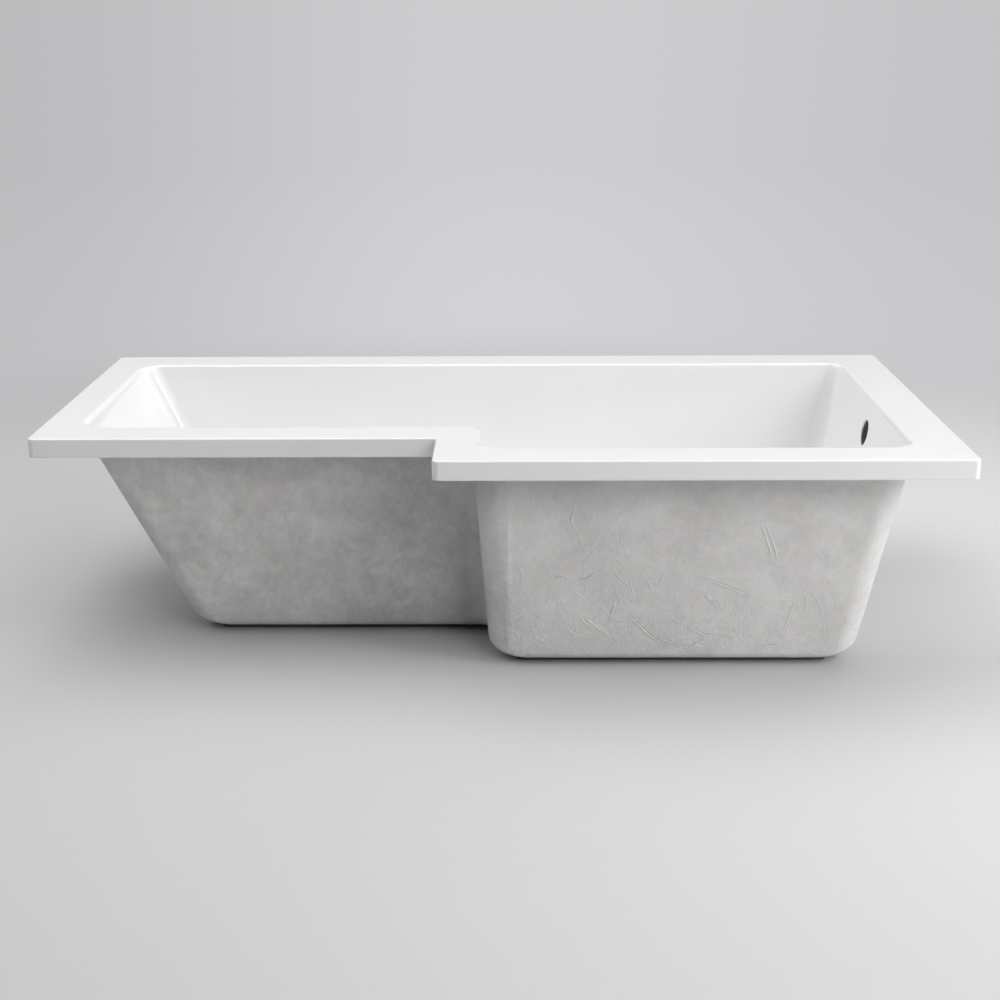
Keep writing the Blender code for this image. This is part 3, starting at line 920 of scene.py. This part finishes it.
def strand_tree():
    """Chopped strands scattered over the outside of a laminate and laid onto its surface."""
    tree = Modelling(
        "Chopped strands", Zone="Int", Density="Float", Half_length="Float", Width="Float",
        Thickness="Float", Bow="Float", Seed="Int")
    given = tree.given
    laminate, half = given["Geometry"], given["Half length"]
    zones = {"A": tree.attribute("outside", "INT"), "B": given["Zone"]}
    outside = tree.get(
        "Result", "FunctionNodeCompare", zones, data_type="INT", operation="GREATER_THAN")
    gathered = tree.span(tree.get("Fac", "ShaderNodeTexNoise", {"Scale": 11}), 0.4, 0.62, 0.15, 2)
    points = tree.node("GeometryNodeDistributePointsOnFaces", {
        "Mesh": laminate, "Selection": outside, "Seed": given["Seed"],
        "Density": tree.number("MULTIPLY", gathered, given["Density"])}).outputs

    bow = tree.get("Curve", "GeometryNodeCurveQuadraticBezier", {
        "Resolution": 6, "Start": tree.axes(X=tree.number("MULTIPLY", half, -1)),
        "Middle": tree.axes(Y=given["Bow"]), "End": tree.axes(X=half)})
    flat = {"Width": given["Width"], "Height": given["Thickness"]}
    section = tree.get("Curve", "GeometryNodeCurvePrimitiveQuadrilateral", flat, mode="RECTANGLE")
    place = {"Vector": tree.get("Position", "GeometryNodeInputPosition")}
    lift = {
        "Geometry": tree.swept(bow, section), "Name": "lift",
        "Value": tree.get("Z", "ShaderNodeSeparateXYZ", place)}
    strand = tree.get(
        "Geometry", "GeometryNodeStoreNamedAttribute", lift, data_type="FLOAT", domain="POINT")

    spin = {"Rotation": points["Rotation"], "Rotate By": tree.axes(Z=tree.random(0, 2 * pi))}
    turn = tree.get("Rotation", "FunctionNodeRotateRotation", spin, rotation_space="LOCAL")
    strands = tree.get("Instances", "GeometryNodeInstanceOnPoints", {
        "Points": points["Points"], "Instance": strand, "Rotation": turn,
        "Scale": tree.axes(X=tree.random(0.5, 1.3), Y=1, Z=1)})
    place, normal = tree.nearest(laminate)
    on_top = tree.vector("ADD", place, tree.scaled(normal, tree.attribute("lift")))
    return tree.finish(tree.settled(tree.realized(strands), on_top))


# Folds of the glass tissue on the shower front, as places along the wall and above the floor in mm
SHOWER_FRONT_FOLDS = (
    ((376, 182), (405, 174), (441, 160), (478, 144)),
    ((394, 179), (423, 166), (451, 154), (477, 137)),
    ((390, 151), (412, 128), (432, 107)),
    ((442, 136), (455, 124), (467, 107)),
    ((488, 291), (499, 261), (507, 237), (514, 213)),
    ((498, 286), (509, 257), (517, 237), (522, 217)),
    ((252, 109), (275, 83), (296, 62), (322, 47), (359, 32)),
    ((263, 108), (290, 76), (317, 55), (369, 36)),
    ((362, 80), (389, 68), (410, 62)),
    ((425, 62), (455, 56)),
    ((483, 48), (509, 41), (534, 44)),
    ((98, 151), (120, 134), (141, 116)),
    ((171, 103), (192, 83), (216, 65)),
    ((218, 90), (225, 117), (230, 138)),
    ((154, 324), (146, 297), (151, 278)),
    ((290, 103), (298, 83), (316, 68)),
)
FAINT_FOLDS = (
    ((567, 176), (577, 142), (586, 94)),
    ((562, 147), (548, 97), (535, 45)),
    ((592, 147), (606, 125), (609, 96)),
    ((610, 245), (619, 203)),
    ((146, 319), (154, 279), (176, 227)),
    ((191, 330), (183, 302), (176, 279)),
    ((239, 290), (236, 256), (230, 221)),
    ((587, 161), (610, 113), (632, 65)),
    ((600, 243), (611, 220), (619, 202)),
    ((48, 162), (67, 147), (86, 138)),
    ((173, 102), (195, 84), (220, 65)),
    ((309, 96), (327, 65), (343, 53)),
    ((205, 259), (177, 221), (166, 203)),
    ((357, 191), (340, 150), (336, 120)),
    ((260, 324), (282, 296), (308, 284)),
    ((429, 324), (443, 307), (467, 298)),
    ((562, 143), (551, 101), (548, 65)),
    ((97, 65), (124, 47), (135, 65)),
    ((42, 221), (58, 194), (77, 186)),
    ((220, 203), (242, 174), (264, 162)),
    ((90, 290), (122, 279), (139, 256)),
)
FRONT_FOLDS = (
    ((-651, 262), (-636, 226), (-626, 198)),
    ((-491, 225), (-477, 208), (-474, 180)),
    ((-456, 152), (-432, 129), (-407, 123)),
    ((-234, 302), (-224, 304)),
    ((-97, 157), (-92, 140), (-92, 117)),
    ((-313, 334), (-324, 318), (-339, 313)),
    ((-568, 281), (-572, 259), (-572, 231)),
    ((-324, 77), (-296, 69), (-270, 70)),
)


# Folds up to this strength are only ripples in the resin, and weak ones get no painted crease shadow
FAINT = 0.85
LEAST_CREASE = 0.66


def smooth_line(points, parts=10):
    """Points of a soft curve through the given ones."""
    if len(points) < 3:
        return [points[0].lerp(points[1], part / parts) for part in range(parts + 1)]
    padded = [points[0] * 2 - points[1], *points, points[-1] * 2 - points[-2]]
    line = []
    for a, b, c, d in zip(padded, padded[1:], padded[2:], padded[3:]):
        for part in range(parts):
            t = part / parts
            line.append(0.5 * (
                2 * b + (c - a) * t + (2 * a - 5 * b + 4 * c - d) * t ** 2
                + (3 * b - a - 3 * c + d) * t ** 3))
    return line + [points[-1]]


def line_mesh(lines):
    """Mesh of bare edges, one chain for each line, with the line's strength on its points."""
    corners = []
    edges = []
    strengths = []
    for line, strength in lines:
        first = len(corners)
        corners += line
        edges += [(first + step, first + step + 1) for step in range(len(line) - 1)]
        strengths += [strength] * len(line)
    mesh = bpy.data.meshes.new("lines")
    mesh.from_pydata(corners, edges, [])
    mesh.attributes.new("strength", "FLOAT", "POINT").data.foreach_set("value", strengths)
    return mesh


def beside(line, reach):
    """The line moved along the wall, to its upper side, where a fold's painted shadow lies."""
    moved = []
    for point, before, after in zip(line, line[:1] + line[:-1], line[1:] + line[-1:]):
        ahead = (after - before).normalized()
        level = abs(ahead.y) < abs(ahead.x) or abs(point.x) < 0.6
        side = ahead.cross(Vector((0, 1, 0) if level else (1, 0, 0))).normalized()
        moved.append(point + side * (reach if side.z > 0 else -reach))
    return moved


def fold_lines(moulding, seed):
    """Folds read off the two front walls, and loose ones of the same kind on the others.

    Each is a line and how strong the fold is."""
    wall = moulding.sizes.acrylic + FIT + moulding.sizes.laminate

    def on_wall(side, along, height):
        depth = moulding.wall_inset(side, height) - wall / cos(moulding.sizes.draft[side])
        across = moulding.edge(side, depth)
        return Vector((across, along, height) if TRAVEL[side].y else (along, across, height))

    lines = []
    for side, folds, strength in (
        (SHOWER_FRONT, SHOWER_FRONT_FOLDS, 1),
        (SHOWER_FRONT, FAINT_FOLDS, 0.55),
        (FRONT, FRONT_FOLDS, 0.6),
    ):
        for fold in folds:
            line = smooth_line([on_wall(side, along * MM, height * MM) for along, height in fold])
            lines.append((line, strength))
    noise.seed_set(seed)
    for side, count, (low, high), (bottom, top), longest, faintest in (
        (REAR, 26, (-620, 660), (70, 340), 50, 0.7),
        (FOOT, 12, (-270, 290), (70, 340), 50, 0.7),
        (HEAD, 9, (-110, 290), (70, 340), 50, 0.7),
        (SHOWER_FRONT, 52, (45, 400), (35, 210), 26, 0.45),
    ):
        for _ in range(count):
            along = (low + (high - low) * noise.random()) * MM
            height = (bottom + (top - bottom) * noise.random()) * MM
            lean = 2 * pi * noise.random()
            reach = longest * (0.36 + 0.64 * noise.random()) * MM
            curl = (noise.random() - 0.5) * reach
            spots = []
            for share in (-1, 0, 1):
                step = Vector((cos(lean), sin(lean))) * reach * share
                step += Vector((-sin(lean), cos(lean))) * curl * (1 - share * share)
                spots.append(on_wall(side, along + step.x, height + step.y))
            lines.append((smooth_line(spots), faintest + 0.3 * noise.random()))
    return lines


class ShowerBathOperator:
    """Shared by the operators below."""

    bl_options = {"REGISTER", "UNDO"}

    @staticmethod
    def need(name):
        if name not in bpy.data.objects:
            raise RuntimeError(f"{name} isn't built yet: run the steps in order")
        return bpy.data.objects[name]


class SHOWERBATH_OT_acrylic(ShowerBathOperator, bpy.types.Operator):
    """Form the white acrylic sheet: floor, walls, flange, lip, waste dish and overflow hole"""

    bl_idname = "shower_bath.acrylic"
    bl_label = "Acrylic shell"

    def execute(self, context):
        sizes = context.scene.bath_sizes
        form = Moulding(sizes, 18, (90 * MM, 90 * MM, 40 * MM, 90 * MM, 90 * MM, 120 * MM))
        skin = Skin()
        sheet = sizes.acrylic
        top = RIM_HIGH.z
        roll = form.roll_rings(0, sizes.roll, 12, lead=SUPPORT)
        fillet = form.fillet_rings(0, sizes.fillet, 14, form.corner_radii(0, 1), lead=3 * MM)
        visible = roll + form.wall_rings(roll[-1], fillet[0], 6) + fillet

        bend, toe = sizes.lip_top, sizes.lip_foot
        foot = top - sizes.lip_height
        section = [(bend + SUPPORT, top)]
        for sine, cosine in quarter_turn(8):
            section.append((bend * (1 - sine), top - bend * (1 - cosine)))
        section += [
            (0, top - bend - 2 * MM),
            (0, top - sizes.lip_height / 2),
            (0, foot + toe + 2 * MM),
        ]
        for sine, cosine in quarter_turn(5):
            section.append((toe * (1 - cosine), foot + toe * (1 - sine)))
        section += [
            (sheet - 0.6 * MM, foot),
            (sheet, foot + 0.6 * MM),
            (sheet, foot + 4 * MM),
            (sheet, top - sheet - 3 * MM),
            (sheet, top - sheet),
        ]
        lip = [form.lip_ring(inset, height) for inset, height in section]

        hidden_bends = [max(bend - sheet, LEAST_RADIUS) for bend in sizes.roll]
        hidden_roll = form.roll_rings(sheet, hidden_bends, 5)
        hidden_fillet = form.fillet_rings(
            sheet, [bend + sheet for bend in sizes.fillet], 8, form.corner_radii(sheet, 1))
        hidden = hidden_roll + form.wall_rings(hidden_roll[-1], hidden_fillet[0], 3) + hidden_fillet
        loops = [skin.loop(points) for points in visible[::-1] + lip + hidden]
        skin.run(loops)

        dish = form.floor - sizes.dish_depth
        slope = (sizes.dish - sizes.dish_seat) / 2
        profile = []
        for step in range(9):
            share = step / 8
            fall = (1 - cos(pi * share)) / 2
            profile.append((sizes.dish / 2 - slope * share, form.floor - sizes.dish_depth * fall))
        bore = sizes.hole / 2
        profile += [
            (sizes.dish_seat / 2 - 2 * MM, dish),
            (bore + 1.2 * MM, dish),
            (bore + 0.6 * MM, dish - 0.1 * MM),
            (bore + 0.15 * MM, dish - 0.4 * MM),
            (bore, dish - 0.9 * MM),
            (bore, dish - sheet),
            (sizes.dish_seat / 2, dish - sheet),
            (sizes.dish / 2, form.floor - sheet),
        ]
        outer = skin.loop(form.circle(sizes.dish / 2 + 2 * MM, form.floor))
        drain = [outer] + [skin.loop(form.circle(radius, height)) for radius, height in profile]
        skin.run(drain)
        skin.fill(loops[0], outer)
        skin.fill(loops[-1], drain[-1])
        shell = skin.finish("formed_acrylic", acrylic_finish(context.scene.laminate_finish.acrylic))
        # Past 2.4 mm of white, the overflow hole's bore is painted nearly black as shade
        shell = drilled(shell, form, hole_shade_finish("drilled_acrylic"), 0, 2.4 * MM)
        place_piece(shell, "white_acrylic", "acrylic_shell")
        return {"FINISHED"}


class SHOWERBATH_OT_laminate(ShowerBathOperator, bpy.types.Operator):
    """Lay the uneven glass-fibre laminate on the hidden side of the tub"""

    bl_idname = "shower_bath.laminate"
    bl_label = "Tub laminate"

    def execute(self, context):
        sizes = context.scene.bath_sizes
        look = context.scene.laminate_finish
        form = Moulding(sizes, 12, (10 * MM, 6 * MM, 6 * MM, 6 * MM, 10 * MM, 12 * MM))
        skin = Skin()
        inner = sizes.acrylic + FIT
        outer = inner + sizes.laminate
        inner_bends = [max(bend - inner, LEAST_RADIUS) for bend in sizes.roll]
        inner_roll = form.roll_rings(inner, inner_bends, 3)
        inner_fillet = form.fillet_rings(
            inner, [bend + inner for bend in sizes.fillet], 6, form.corner_radii(inner, 1))
        inside = inner_roll + form.wall_rings(inner_roll[-1], inner_fillet[0], 2) + inner_fillet

        cove = form.roll_rings(outer, [sizes.cove] * len(SIDES), 6, lead=3 * MM)
        fillet = form.fillet_rings(
            outer, sizes.outer_fillet, 10, form.corner_radii(outer, 1), lead=4 * MM)
        walls = form.wall_rings(cove[-1], fillet[0], 56, support=3 * MM)

        edge = [form.lip_ring(inner, RIM_HIGH.z - depth) for depth in (inner, outer)]

        loops = [skin.loop(points) for points in inside[::-1] + edge]
        skin.run(loops)
        outside = [(points, 0.25 * index / len(cove)) for index, points in enumerate(cove)]
        outside += [(points, min(1, 0.25 + index / 8)) for index, points in enumerate(walls)]
        fades = len(fillet) - 2
        outside += [(points, 1 - index / fades) for index, points in enumerate(fillet[:-1])]
        outside.append((fillet[-1], 0))
        skins = [skin.loop(points, max(weight, 0)) for points, weight in outside]
        skin.run([loops[-1], skins[0]])
        skin.run(skins, outside=1)

        top = form.floor - inner
        drain = [
            skin.loop(form.circle(sizes.dish / 2, top)),
            skin.loop(form.circle(sizes.dish_seat / 2, top - sizes.dish_depth)),
            skin.loop(form.circle(sizes.hole / 2, top - sizes.dish_depth)),
            skin.loop(form.circle(sizes.hole / 2, TUB_LOW.z)),
        ]
        skin.run(drain)
        skin.fill(loops[0], drain[0])
        skin.fill(skins[-1], drain[-1])
        hole = form.overflow_place(outer)
        seam = Vector((form.edge(STEP, SEAM_ALONG), form.edge(SHOWER_FRONT, SEAM_INSET)))
        skin.relieve(relief(look, hole, seam))
        finish = laminate_finish("tub_resin", look.pale, look.deep, look.shower_tone)
        laid = skin.finish("hand_laid_laminate", finish)
        # The laminate's bore of the overflow hole is painted nearly black as shade
        laid = drilled(laid, form, hole_shade_finish("drilled_laminate"), inner - 3 * MM)
        drain = Vector((*form.waste_place(), TUB_LOW.z))
        crumbled = (CRUMBLED_ALONG, (form.edge(SHOWER_FRONT, 0), seam.y), CRUMBLED_UP)
        mark_zones(laid, (hole, drain), crumbled)
        place_piece(laid, "tub_laminate", "tub_laminate")
        return {"FINISHED"}


class SHOWERBATH_OT_folds(ShowerBathOperator, bpy.types.Operator):
    """Lay the folds of glass tissue on the tub's laminate, with painted shadow lines above the
    stronger ones
    """

    bl_idname = "shower_bath.folds"
    bl_label = "Tissue folds"

    def execute(self, context):
        look = context.scene.laminate_finish
        surface = self.need("hand_laid_laminate")
        form = Moulding(context.scene.bath_sizes, 4, [50 * MM] * len(SIDES))
        plain = surface.data.materials[0]
        dry = laminate_finish(
            "folded_tissue", Vector(look.pale) * look.fold_tone, Vector(look.deep) * look.fold_tone,
            look.shower_tone)
        tree = fold_tree()
        lines = fold_lines(form, look.seed)
        reach = sqrt(look.fold_bead ** 2 - look.fold_sink ** 2)
        # Painted shadow lines along the upper side of the stronger, straighter folds
        crease_shadows = []
        for line, strength in lines:
            span = line[-1] - line[0]
            fullness = strength * (0.4 + 0.6 * span.xy.length / span.length)
            if fullness > LEAST_CREASE:
                crease_shadows.append((beside(line, reach * strength), fullness))
        strong = [line for line in lines if line[1] > FAINT]
        faint = [line for line in lines if line[1] <= FAINT]
        for name, paths, radius, sink, paint in (
            ("laminate_folds", strong, look.fold_bead, look.fold_sink, dry),
            ("laminate_ripples", faint, look.fold_bead, look.fold_sink, plain),
            ("laminate_creases", crease_shadows, look.crease, look.crease * 0.72, crease_shadow_finish(look)),
        ):
            mesh = run_tree(name, line_mesh(paths), tree, {
                "Surface": surface, "Bead radius": radius, "Sink": sink,
                "Spacing": 3 * MM, "Finish": paint})
            place_piece(mesh_piece(name, mesh, paint), "tub_laminate")
        return {"FINISHED"}


class SHOWERBATH_OT_strands(ShowerBathOperator, bpy.types.Operator):
    """Scatter the chopped strands that show through the resin of all three laminates"""

    bl_idname = "shower_bath.strands"
    bl_label = "Chopped strands"

    def execute(self, context):
        look = context.scene.laminate_finish
        tree = strand_tree()
        strand = (look.strand_length, look.strand_width, look.strand_height)
        crumb = (look.crumb * 1.6, look.crumb, look.crumb * 0.42)
        tub = "hand_laid_laminate"
        sparse, dense = look.strand_density, 2 * look.strand_density
        for name, surface, slot, zone, density, (length, width, height) in (
            ("laminate_strands", tub, "tub_laminate", 0, sparse, strand),
            ("laminate_crumbs", tub, "tub_laminate", 1, look.crumb_density, crumb),
            ("rim_strands", "rim_channel", "rim_laminate", 0, dense, strand),
            ("base_strands", "base_pan", "base_laminate", 0, dense, strand),
        ):
            under = self.need(surface)
            finish = under.data.materials[0]
            mesh = run_tree(name, under.data.copy(), tree, {
                "Zone": zone, "Density": density, "Half length": length / 2, "Width": width,
                "Thickness": 2 * height, "Bow": length / 8, "Seed": look.seed,
                "Finish": finish})
            place_piece(mesh_piece(name, mesh, finish), slot)
        return {"FINISHED"}


class SHOWERBATH_OT_rim_channel(ShowerBathOperator, bpy.types.Operator):
    """Wrap the rim battens in their channel of laminate"""

    bl_idname = "shower_bath.rim_channel"
    bl_label = "Rim channel"

    def execute(self, context):
        sizes = context.scene.bath_sizes
        look = context.scene.laminate_finish
        form = Moulding(sizes, 6, [14 * MM] * len(SIDES))
        wrap = sizes.overlaminate
        left = CHANNEL_LOW.x - RIM_LOW.x
        right = FRONT_BATTEN_HIGH.y - form.edge(FRONT, 0) + FIT + wrap
        top, bottom = CHANNEL_HIGH.z, CHANNEL_LOW.z
        bend = 3 * MM
        straight = bottom + bend + 5 * MM
        section = [(left, top, 0), (left, top - bend, 0.3), (left, straight, 1)]
        turns = quarter_turn(5)
        for sine, cosine in turns:
            section.append((left + bend * (1 - cosine), bottom + bend * (1 - sine), 1))
        parts = 6
        for part in range(1, parts):
            section.append((left + bend + (right - left - 2 * bend) * part / parts, bottom, 1))
        for sine, cosine in turns:
            section.append((right - bend * (1 - sine), bottom + bend * (1 - cosine), 1))
        section += [
            (right, straight, 1), (right, top - bend, 0.3), (right, top, 0),
            (right - wrap, top, 0),
            (right - wrap, bottom + wrap, 0),
            (left + wrap, bottom + wrap, 0),
            (left + wrap, top, 0),
        ]
        skin = Skin()
        loops = []
        middle = (left + right) / 2
        for inset, height, weight in section:
            radii = [4 * MM if inset < middle else 5 * MM] * len(SIDES)
            loops.append(skin.loop(form.flat_ring(inset, height, radii), weight * 0.5))
        skin.run(loops[:-4], outside=1)
        skin.run(loops[-5:] + loops[:1])
        skin.relieve(relief(look))
        finish = laminate_finish("rim_resin", Vector(look.pale) * 0.9, Vector(look.deep) * 0.88)
        place_piece(skin.finish("rim_channel", finish), "rim_laminate", "rim_overlaminate")
        return {"FINISHED"}


class SHOWERBATH_OT_base_pan(ShowerBathOperator, bpy.types.Operator):
    """Enclose the base boards in the laminated pan that the bath stands on"""

    bl_idname = "shower_bath.base_pan"
    bl_label = "Base pan"

    def execute(self, context):
        sizes = context.scene.bath_sizes
        look = context.scene.laminate_finish
        form = Moulding(sizes, 8, [40 * MM] * len(SIDES))
        wrap = sizes.overlaminate
        skins = sizes.acrylic + FIT + sizes.laminate
        outline = (
            PAN_LOW.x - form.edge(HEAD, 0),
            form.fillet_point(FRONT, skins, sizes.outer_fillet[FRONT], 0)[0] + PAN_SETBACK,
            form.fillet_point(STEP, skins, sizes.outer_fillet[STEP], 0)[0] + PAN_SETBACK,
            PAN_LOW.y - form.edge(SHOWER_FRONT, 0),
            form.edge(FOOT, 0) - PAN_HIGH.x,
            form.edge(REAR, 0) - PAN_HIGH.y,
        )
        high, low = PAN_HIGH.z, PAN_LOW.z + look.strand_height
        bend = 2 * MM
        skin = Skin()

        def pan_loop(inset, height, radius=8 * MM):
            insets = [edge + inset for edge in outline]
            return skin.loop(form.ring(insets, [height] * len(SIDES), [radius] * len(SIDES)))

        walls = [pan_loop(wrap, height, 5.5 * MM) for height in (low + wrap, high)]
        turns = quarter_turn(4)
        for sine, cosine in turns:
            walls.append(pan_loop(bend * (1 - sine), high - bend * (1 - cosine)))
        for sine, cosine in turns:
            walls.append(pan_loop(bend * (1 - cosine), low + bend * (1 - sine)))
        walls.append(pan_loop(bend + 2 * MM, low))
        skin.run(walls[:2])
        skin.run(walls[1:], outside=1)
        clear = sizes.board_hole / 2
        collar = [
            skin.loop(form.circle(clear + wrap, low + wrap)),
            skin.loop(form.circle(clear + wrap, high)),
            skin.loop(form.circle(clear, high)),
            skin.loop(form.circle(clear, low + 1 * MM)),
            skin.loop(form.circle(clear + 1 * MM, low)),
        ]
        skin.run(collar)
        skin.fill(walls[0], collar[0])
        skin.fill(walls[-1], collar[-1], outside=1)
        # The pan is painted nearly black, as the shade under the bath
        finish = laminate_finish("base_resin", Vector(look.pale) * 0.14, Vector(look.deep) * 0.13)
        place_piece(skin.finish("base_pan", finish), "base_laminate", "base_overlaminate")
        return {"FINISHED"}


class SHOWERBATH_OT_timber(ShowerBathOperator, bpy.types.Operator):
    """Give the battens and the base boards their timber"""

    bl_idname = "shower_bath.timber"
    bl_label = "Battens and boards"

    def execute(self, context):
        for ending, finish in (("_batten", timber_finish()), ("_baseboard", chipboard_finish())):
            for name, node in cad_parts.items():
                if name.endswith(ending):
                    for slot in node.material_slots:
                        slot.material = finish
        return {"FINISHED"}


class SHOWERBATH_OT_studio(ShowerBathOperator, bpy.types.Operator):
    """Set up the pale floor, the soft lamps and the camera"""

    bl_idname = "shower_bath.studio"
    bl_label = "Studio"

    def execute(self, context):
        studio = context.scene.studio
        self.lay_floor(studio)
        self.light_world(context, studio)
        for name, power, size, place in (
            ("overhead", studio.overhead, (4.2, 3.0), (0.3, 0.4, 3.4)),
            ("head", studio.head, (3.2, 3.2), (-1.7, 0.3, 3.2)),
            ("key", studio.key, (1.4, 2.2), (3.3, -1.5, 2.3)),
            ("rear", studio.rear, (2.5, 2.0), (2.2, 2.4, 2.6)),
            ("front", studio.front, (2.2, 2.0), (2.0, -3.6, 2.8)),
            ("side", studio.side, (1.8, 0.6), (3.2, -1.3, 0.4)),
            ("left", studio.left, (2.0, 2.0), (-3.2, -1.0, 2.2)),
        ):
            self.hang_lamp(name, power, size, place)
        self.place_camera(context, studio)
        context.scene.view_settings.view_transform = "Standard"
        return {"FINISHED"}

    @staticmethod
    def lay_floor(studio):
        disc = bmesh.new()
        bmesh.ops.create_circle(disc, cap_ends=True, segments=96, radius=FLOOR_RADIUS)
        mesh = made_mesh("studio_floor", disc)
        finish = Finish("studio_floor", 0.7)
        finish.shader.inputs["Specular IOR Level"].default_value = 0.2
        near = Vector(studio.floor)
        tone = finish.ramp(finish.noise(1.5, 2), (0.3, near * 0.985), (0.7, near))
        # Painted light on the floor: its colour runs from 0.96 at the left to 1.1 at the right
        finish.colour(finish.scaled(tone, finish.span(finish.axes()["X"], -1, 1, 0.96, 1.1)))
        place = {0: finish.place}
        distance = finish.get("Value", "ShaderNodeVectorMath", place, operation="LENGTH")
        rise = finish.span(distance, 3.5, 9.5, 1.05, 1)
        colour = finish.scaled(finish.backdrop(studio, 3), rise)
        far = finish.get("Emission", "ShaderNodeEmission", {"Color": colour})
        away = finish.span(distance, 1.3, 3.1, 0, 1, curve="SMOOTHERSTEP")
        rays = finish.node("ShaderNodeLightPath").outputs
        seen = finish.number("MAXIMUM", rays["Is Camera Ray"], rays["Is Glossy Ray"])
        seen = finish.number("MAXIMUM", seen, rays["Is Transmission Ray"])
        share = finish.number("MULTIPLY", away, seen)
        finish.mixed(share, finish.shader.outputs["BSDF"], far, "Material Output")
        mesh.materials.append(finish.material)
        floor = add_object("studio_floor", mesh)

    @staticmethod
    def light_world(context, studio):
        world = bpy.data.worlds.new("studio")
        context.scene.world = world
        world.use_nodes = True
        graph = Graph(world.node_tree, "Generated")
        light = graph.tree.nodes["Background"]
        light.inputs["Color"].default_value = (1, 1, 1, 1)
        light.inputs["Strength"].default_value = studio.world
        colour = graph.backdrop(studio, 0.001)
        seen = graph.get("Background", "ShaderNodeBackground", {"Color": colour})
        camera_ray = graph.get("Is Camera Ray", "ShaderNodeLightPath")
        graph.mixed(camera_ray, light.outputs["Background"], seen, "World Output")

    @staticmethod
    def hang_lamp(name, power, size, place):
        lamp = bpy.data.lights.new(name, "AREA")
        lamp.shape = "RECTANGLE"
        lamp.size, lamp.size_y = size
        lamp.energy = power
        hung = add_object(name, lamp)
        hung.location = place
        aim = LAMP_TARGET - hung.location
        hung.rotation_euler = aim.to_track_quat("-Z", "Y").to_euler()

    @staticmethod
    def place_camera(context, studio):
        yaw, pitch, roll = studio.aim
        ahead = Vector((sin(yaw) * cos(pitch), cos(yaw) * cos(pitch), -sin(pitch)))
        right = Vector((cos(yaw), -sin(yaw), 0))
        up = right.cross(ahead)
        across = right * cos(roll) + up * sin(roll)
        upward = up * cos(roll) - right * sin(roll)
        turn = Matrix((across, upward, -ahead)).transposed().to_4x4()
        lens = bpy.data.cameras.new("camera")
        lens.lens = studio.lens
        lens.sensor_width = 36
        lens.clip_end = 200
        camera = add_object("camera", lens)
        camera.matrix_world = Matrix.Translation(studio.camera) @ turn
        context.scene.camera = camera


STEPS = (
    SHOWERBATH_OT_acrylic,
    SHOWERBATH_OT_laminate,
    SHOWERBATH_OT_rim_channel,
    SHOWERBATH_OT_base_pan,
    SHOWERBATH_OT_folds,
    SHOWERBATH_OT_strands,
    SHOWERBATH_OT_timber,
    SHOWERBATH_OT_studio,
)


class SHOWERBATH_PT_build(bpy.types.Panel):
    """Lists the steps that build the bath"""

    bl_idname = "SHOWERBATH_PT_build"
    bl_label = "Shower bath"
    bl_space_type = "VIEW_3D"
    bl_region_type = "UI"
    bl_category = "Shower bath"

    def draw(self, context):
        layout = self.layout
        for step in STEPS:
            layout.operator(step.bl_idname)
        for holder in GROUPS:
            group = getattr(context.scene, holder)
            box = layout.box()
            for name in group.bl_rna.properties.keys():
                if name not in ("rna_type", "name"):
                    box.prop(group, name)


GROUPS = {"bath_sizes": BathSizes, "laminate_finish": LaminateFinish, "studio": Studio}


def register():
    for group in (*GROUPS.values(), *STEPS, SHOWERBATH_PT_build):
        bpy.utils.register_class(group)
    for name, group in GROUPS.items():
        setattr(bpy.types.Scene, name, PointerProperty(type=group))


def unregister():
    for name in GROUPS:
        delattr(bpy.types.Scene, name)
    for group in (SHOWERBATH_PT_build, *reversed(STEPS), *reversed(GROUPS.values())):
        bpy.utils.unregister_class(group)


def main():
    register()
    for step in STEPS:
        group, name = step.bl_idname.split(".")
        getattr(getattr(bpy.ops, group), name)()


if __name__ == "__main__":
    main()
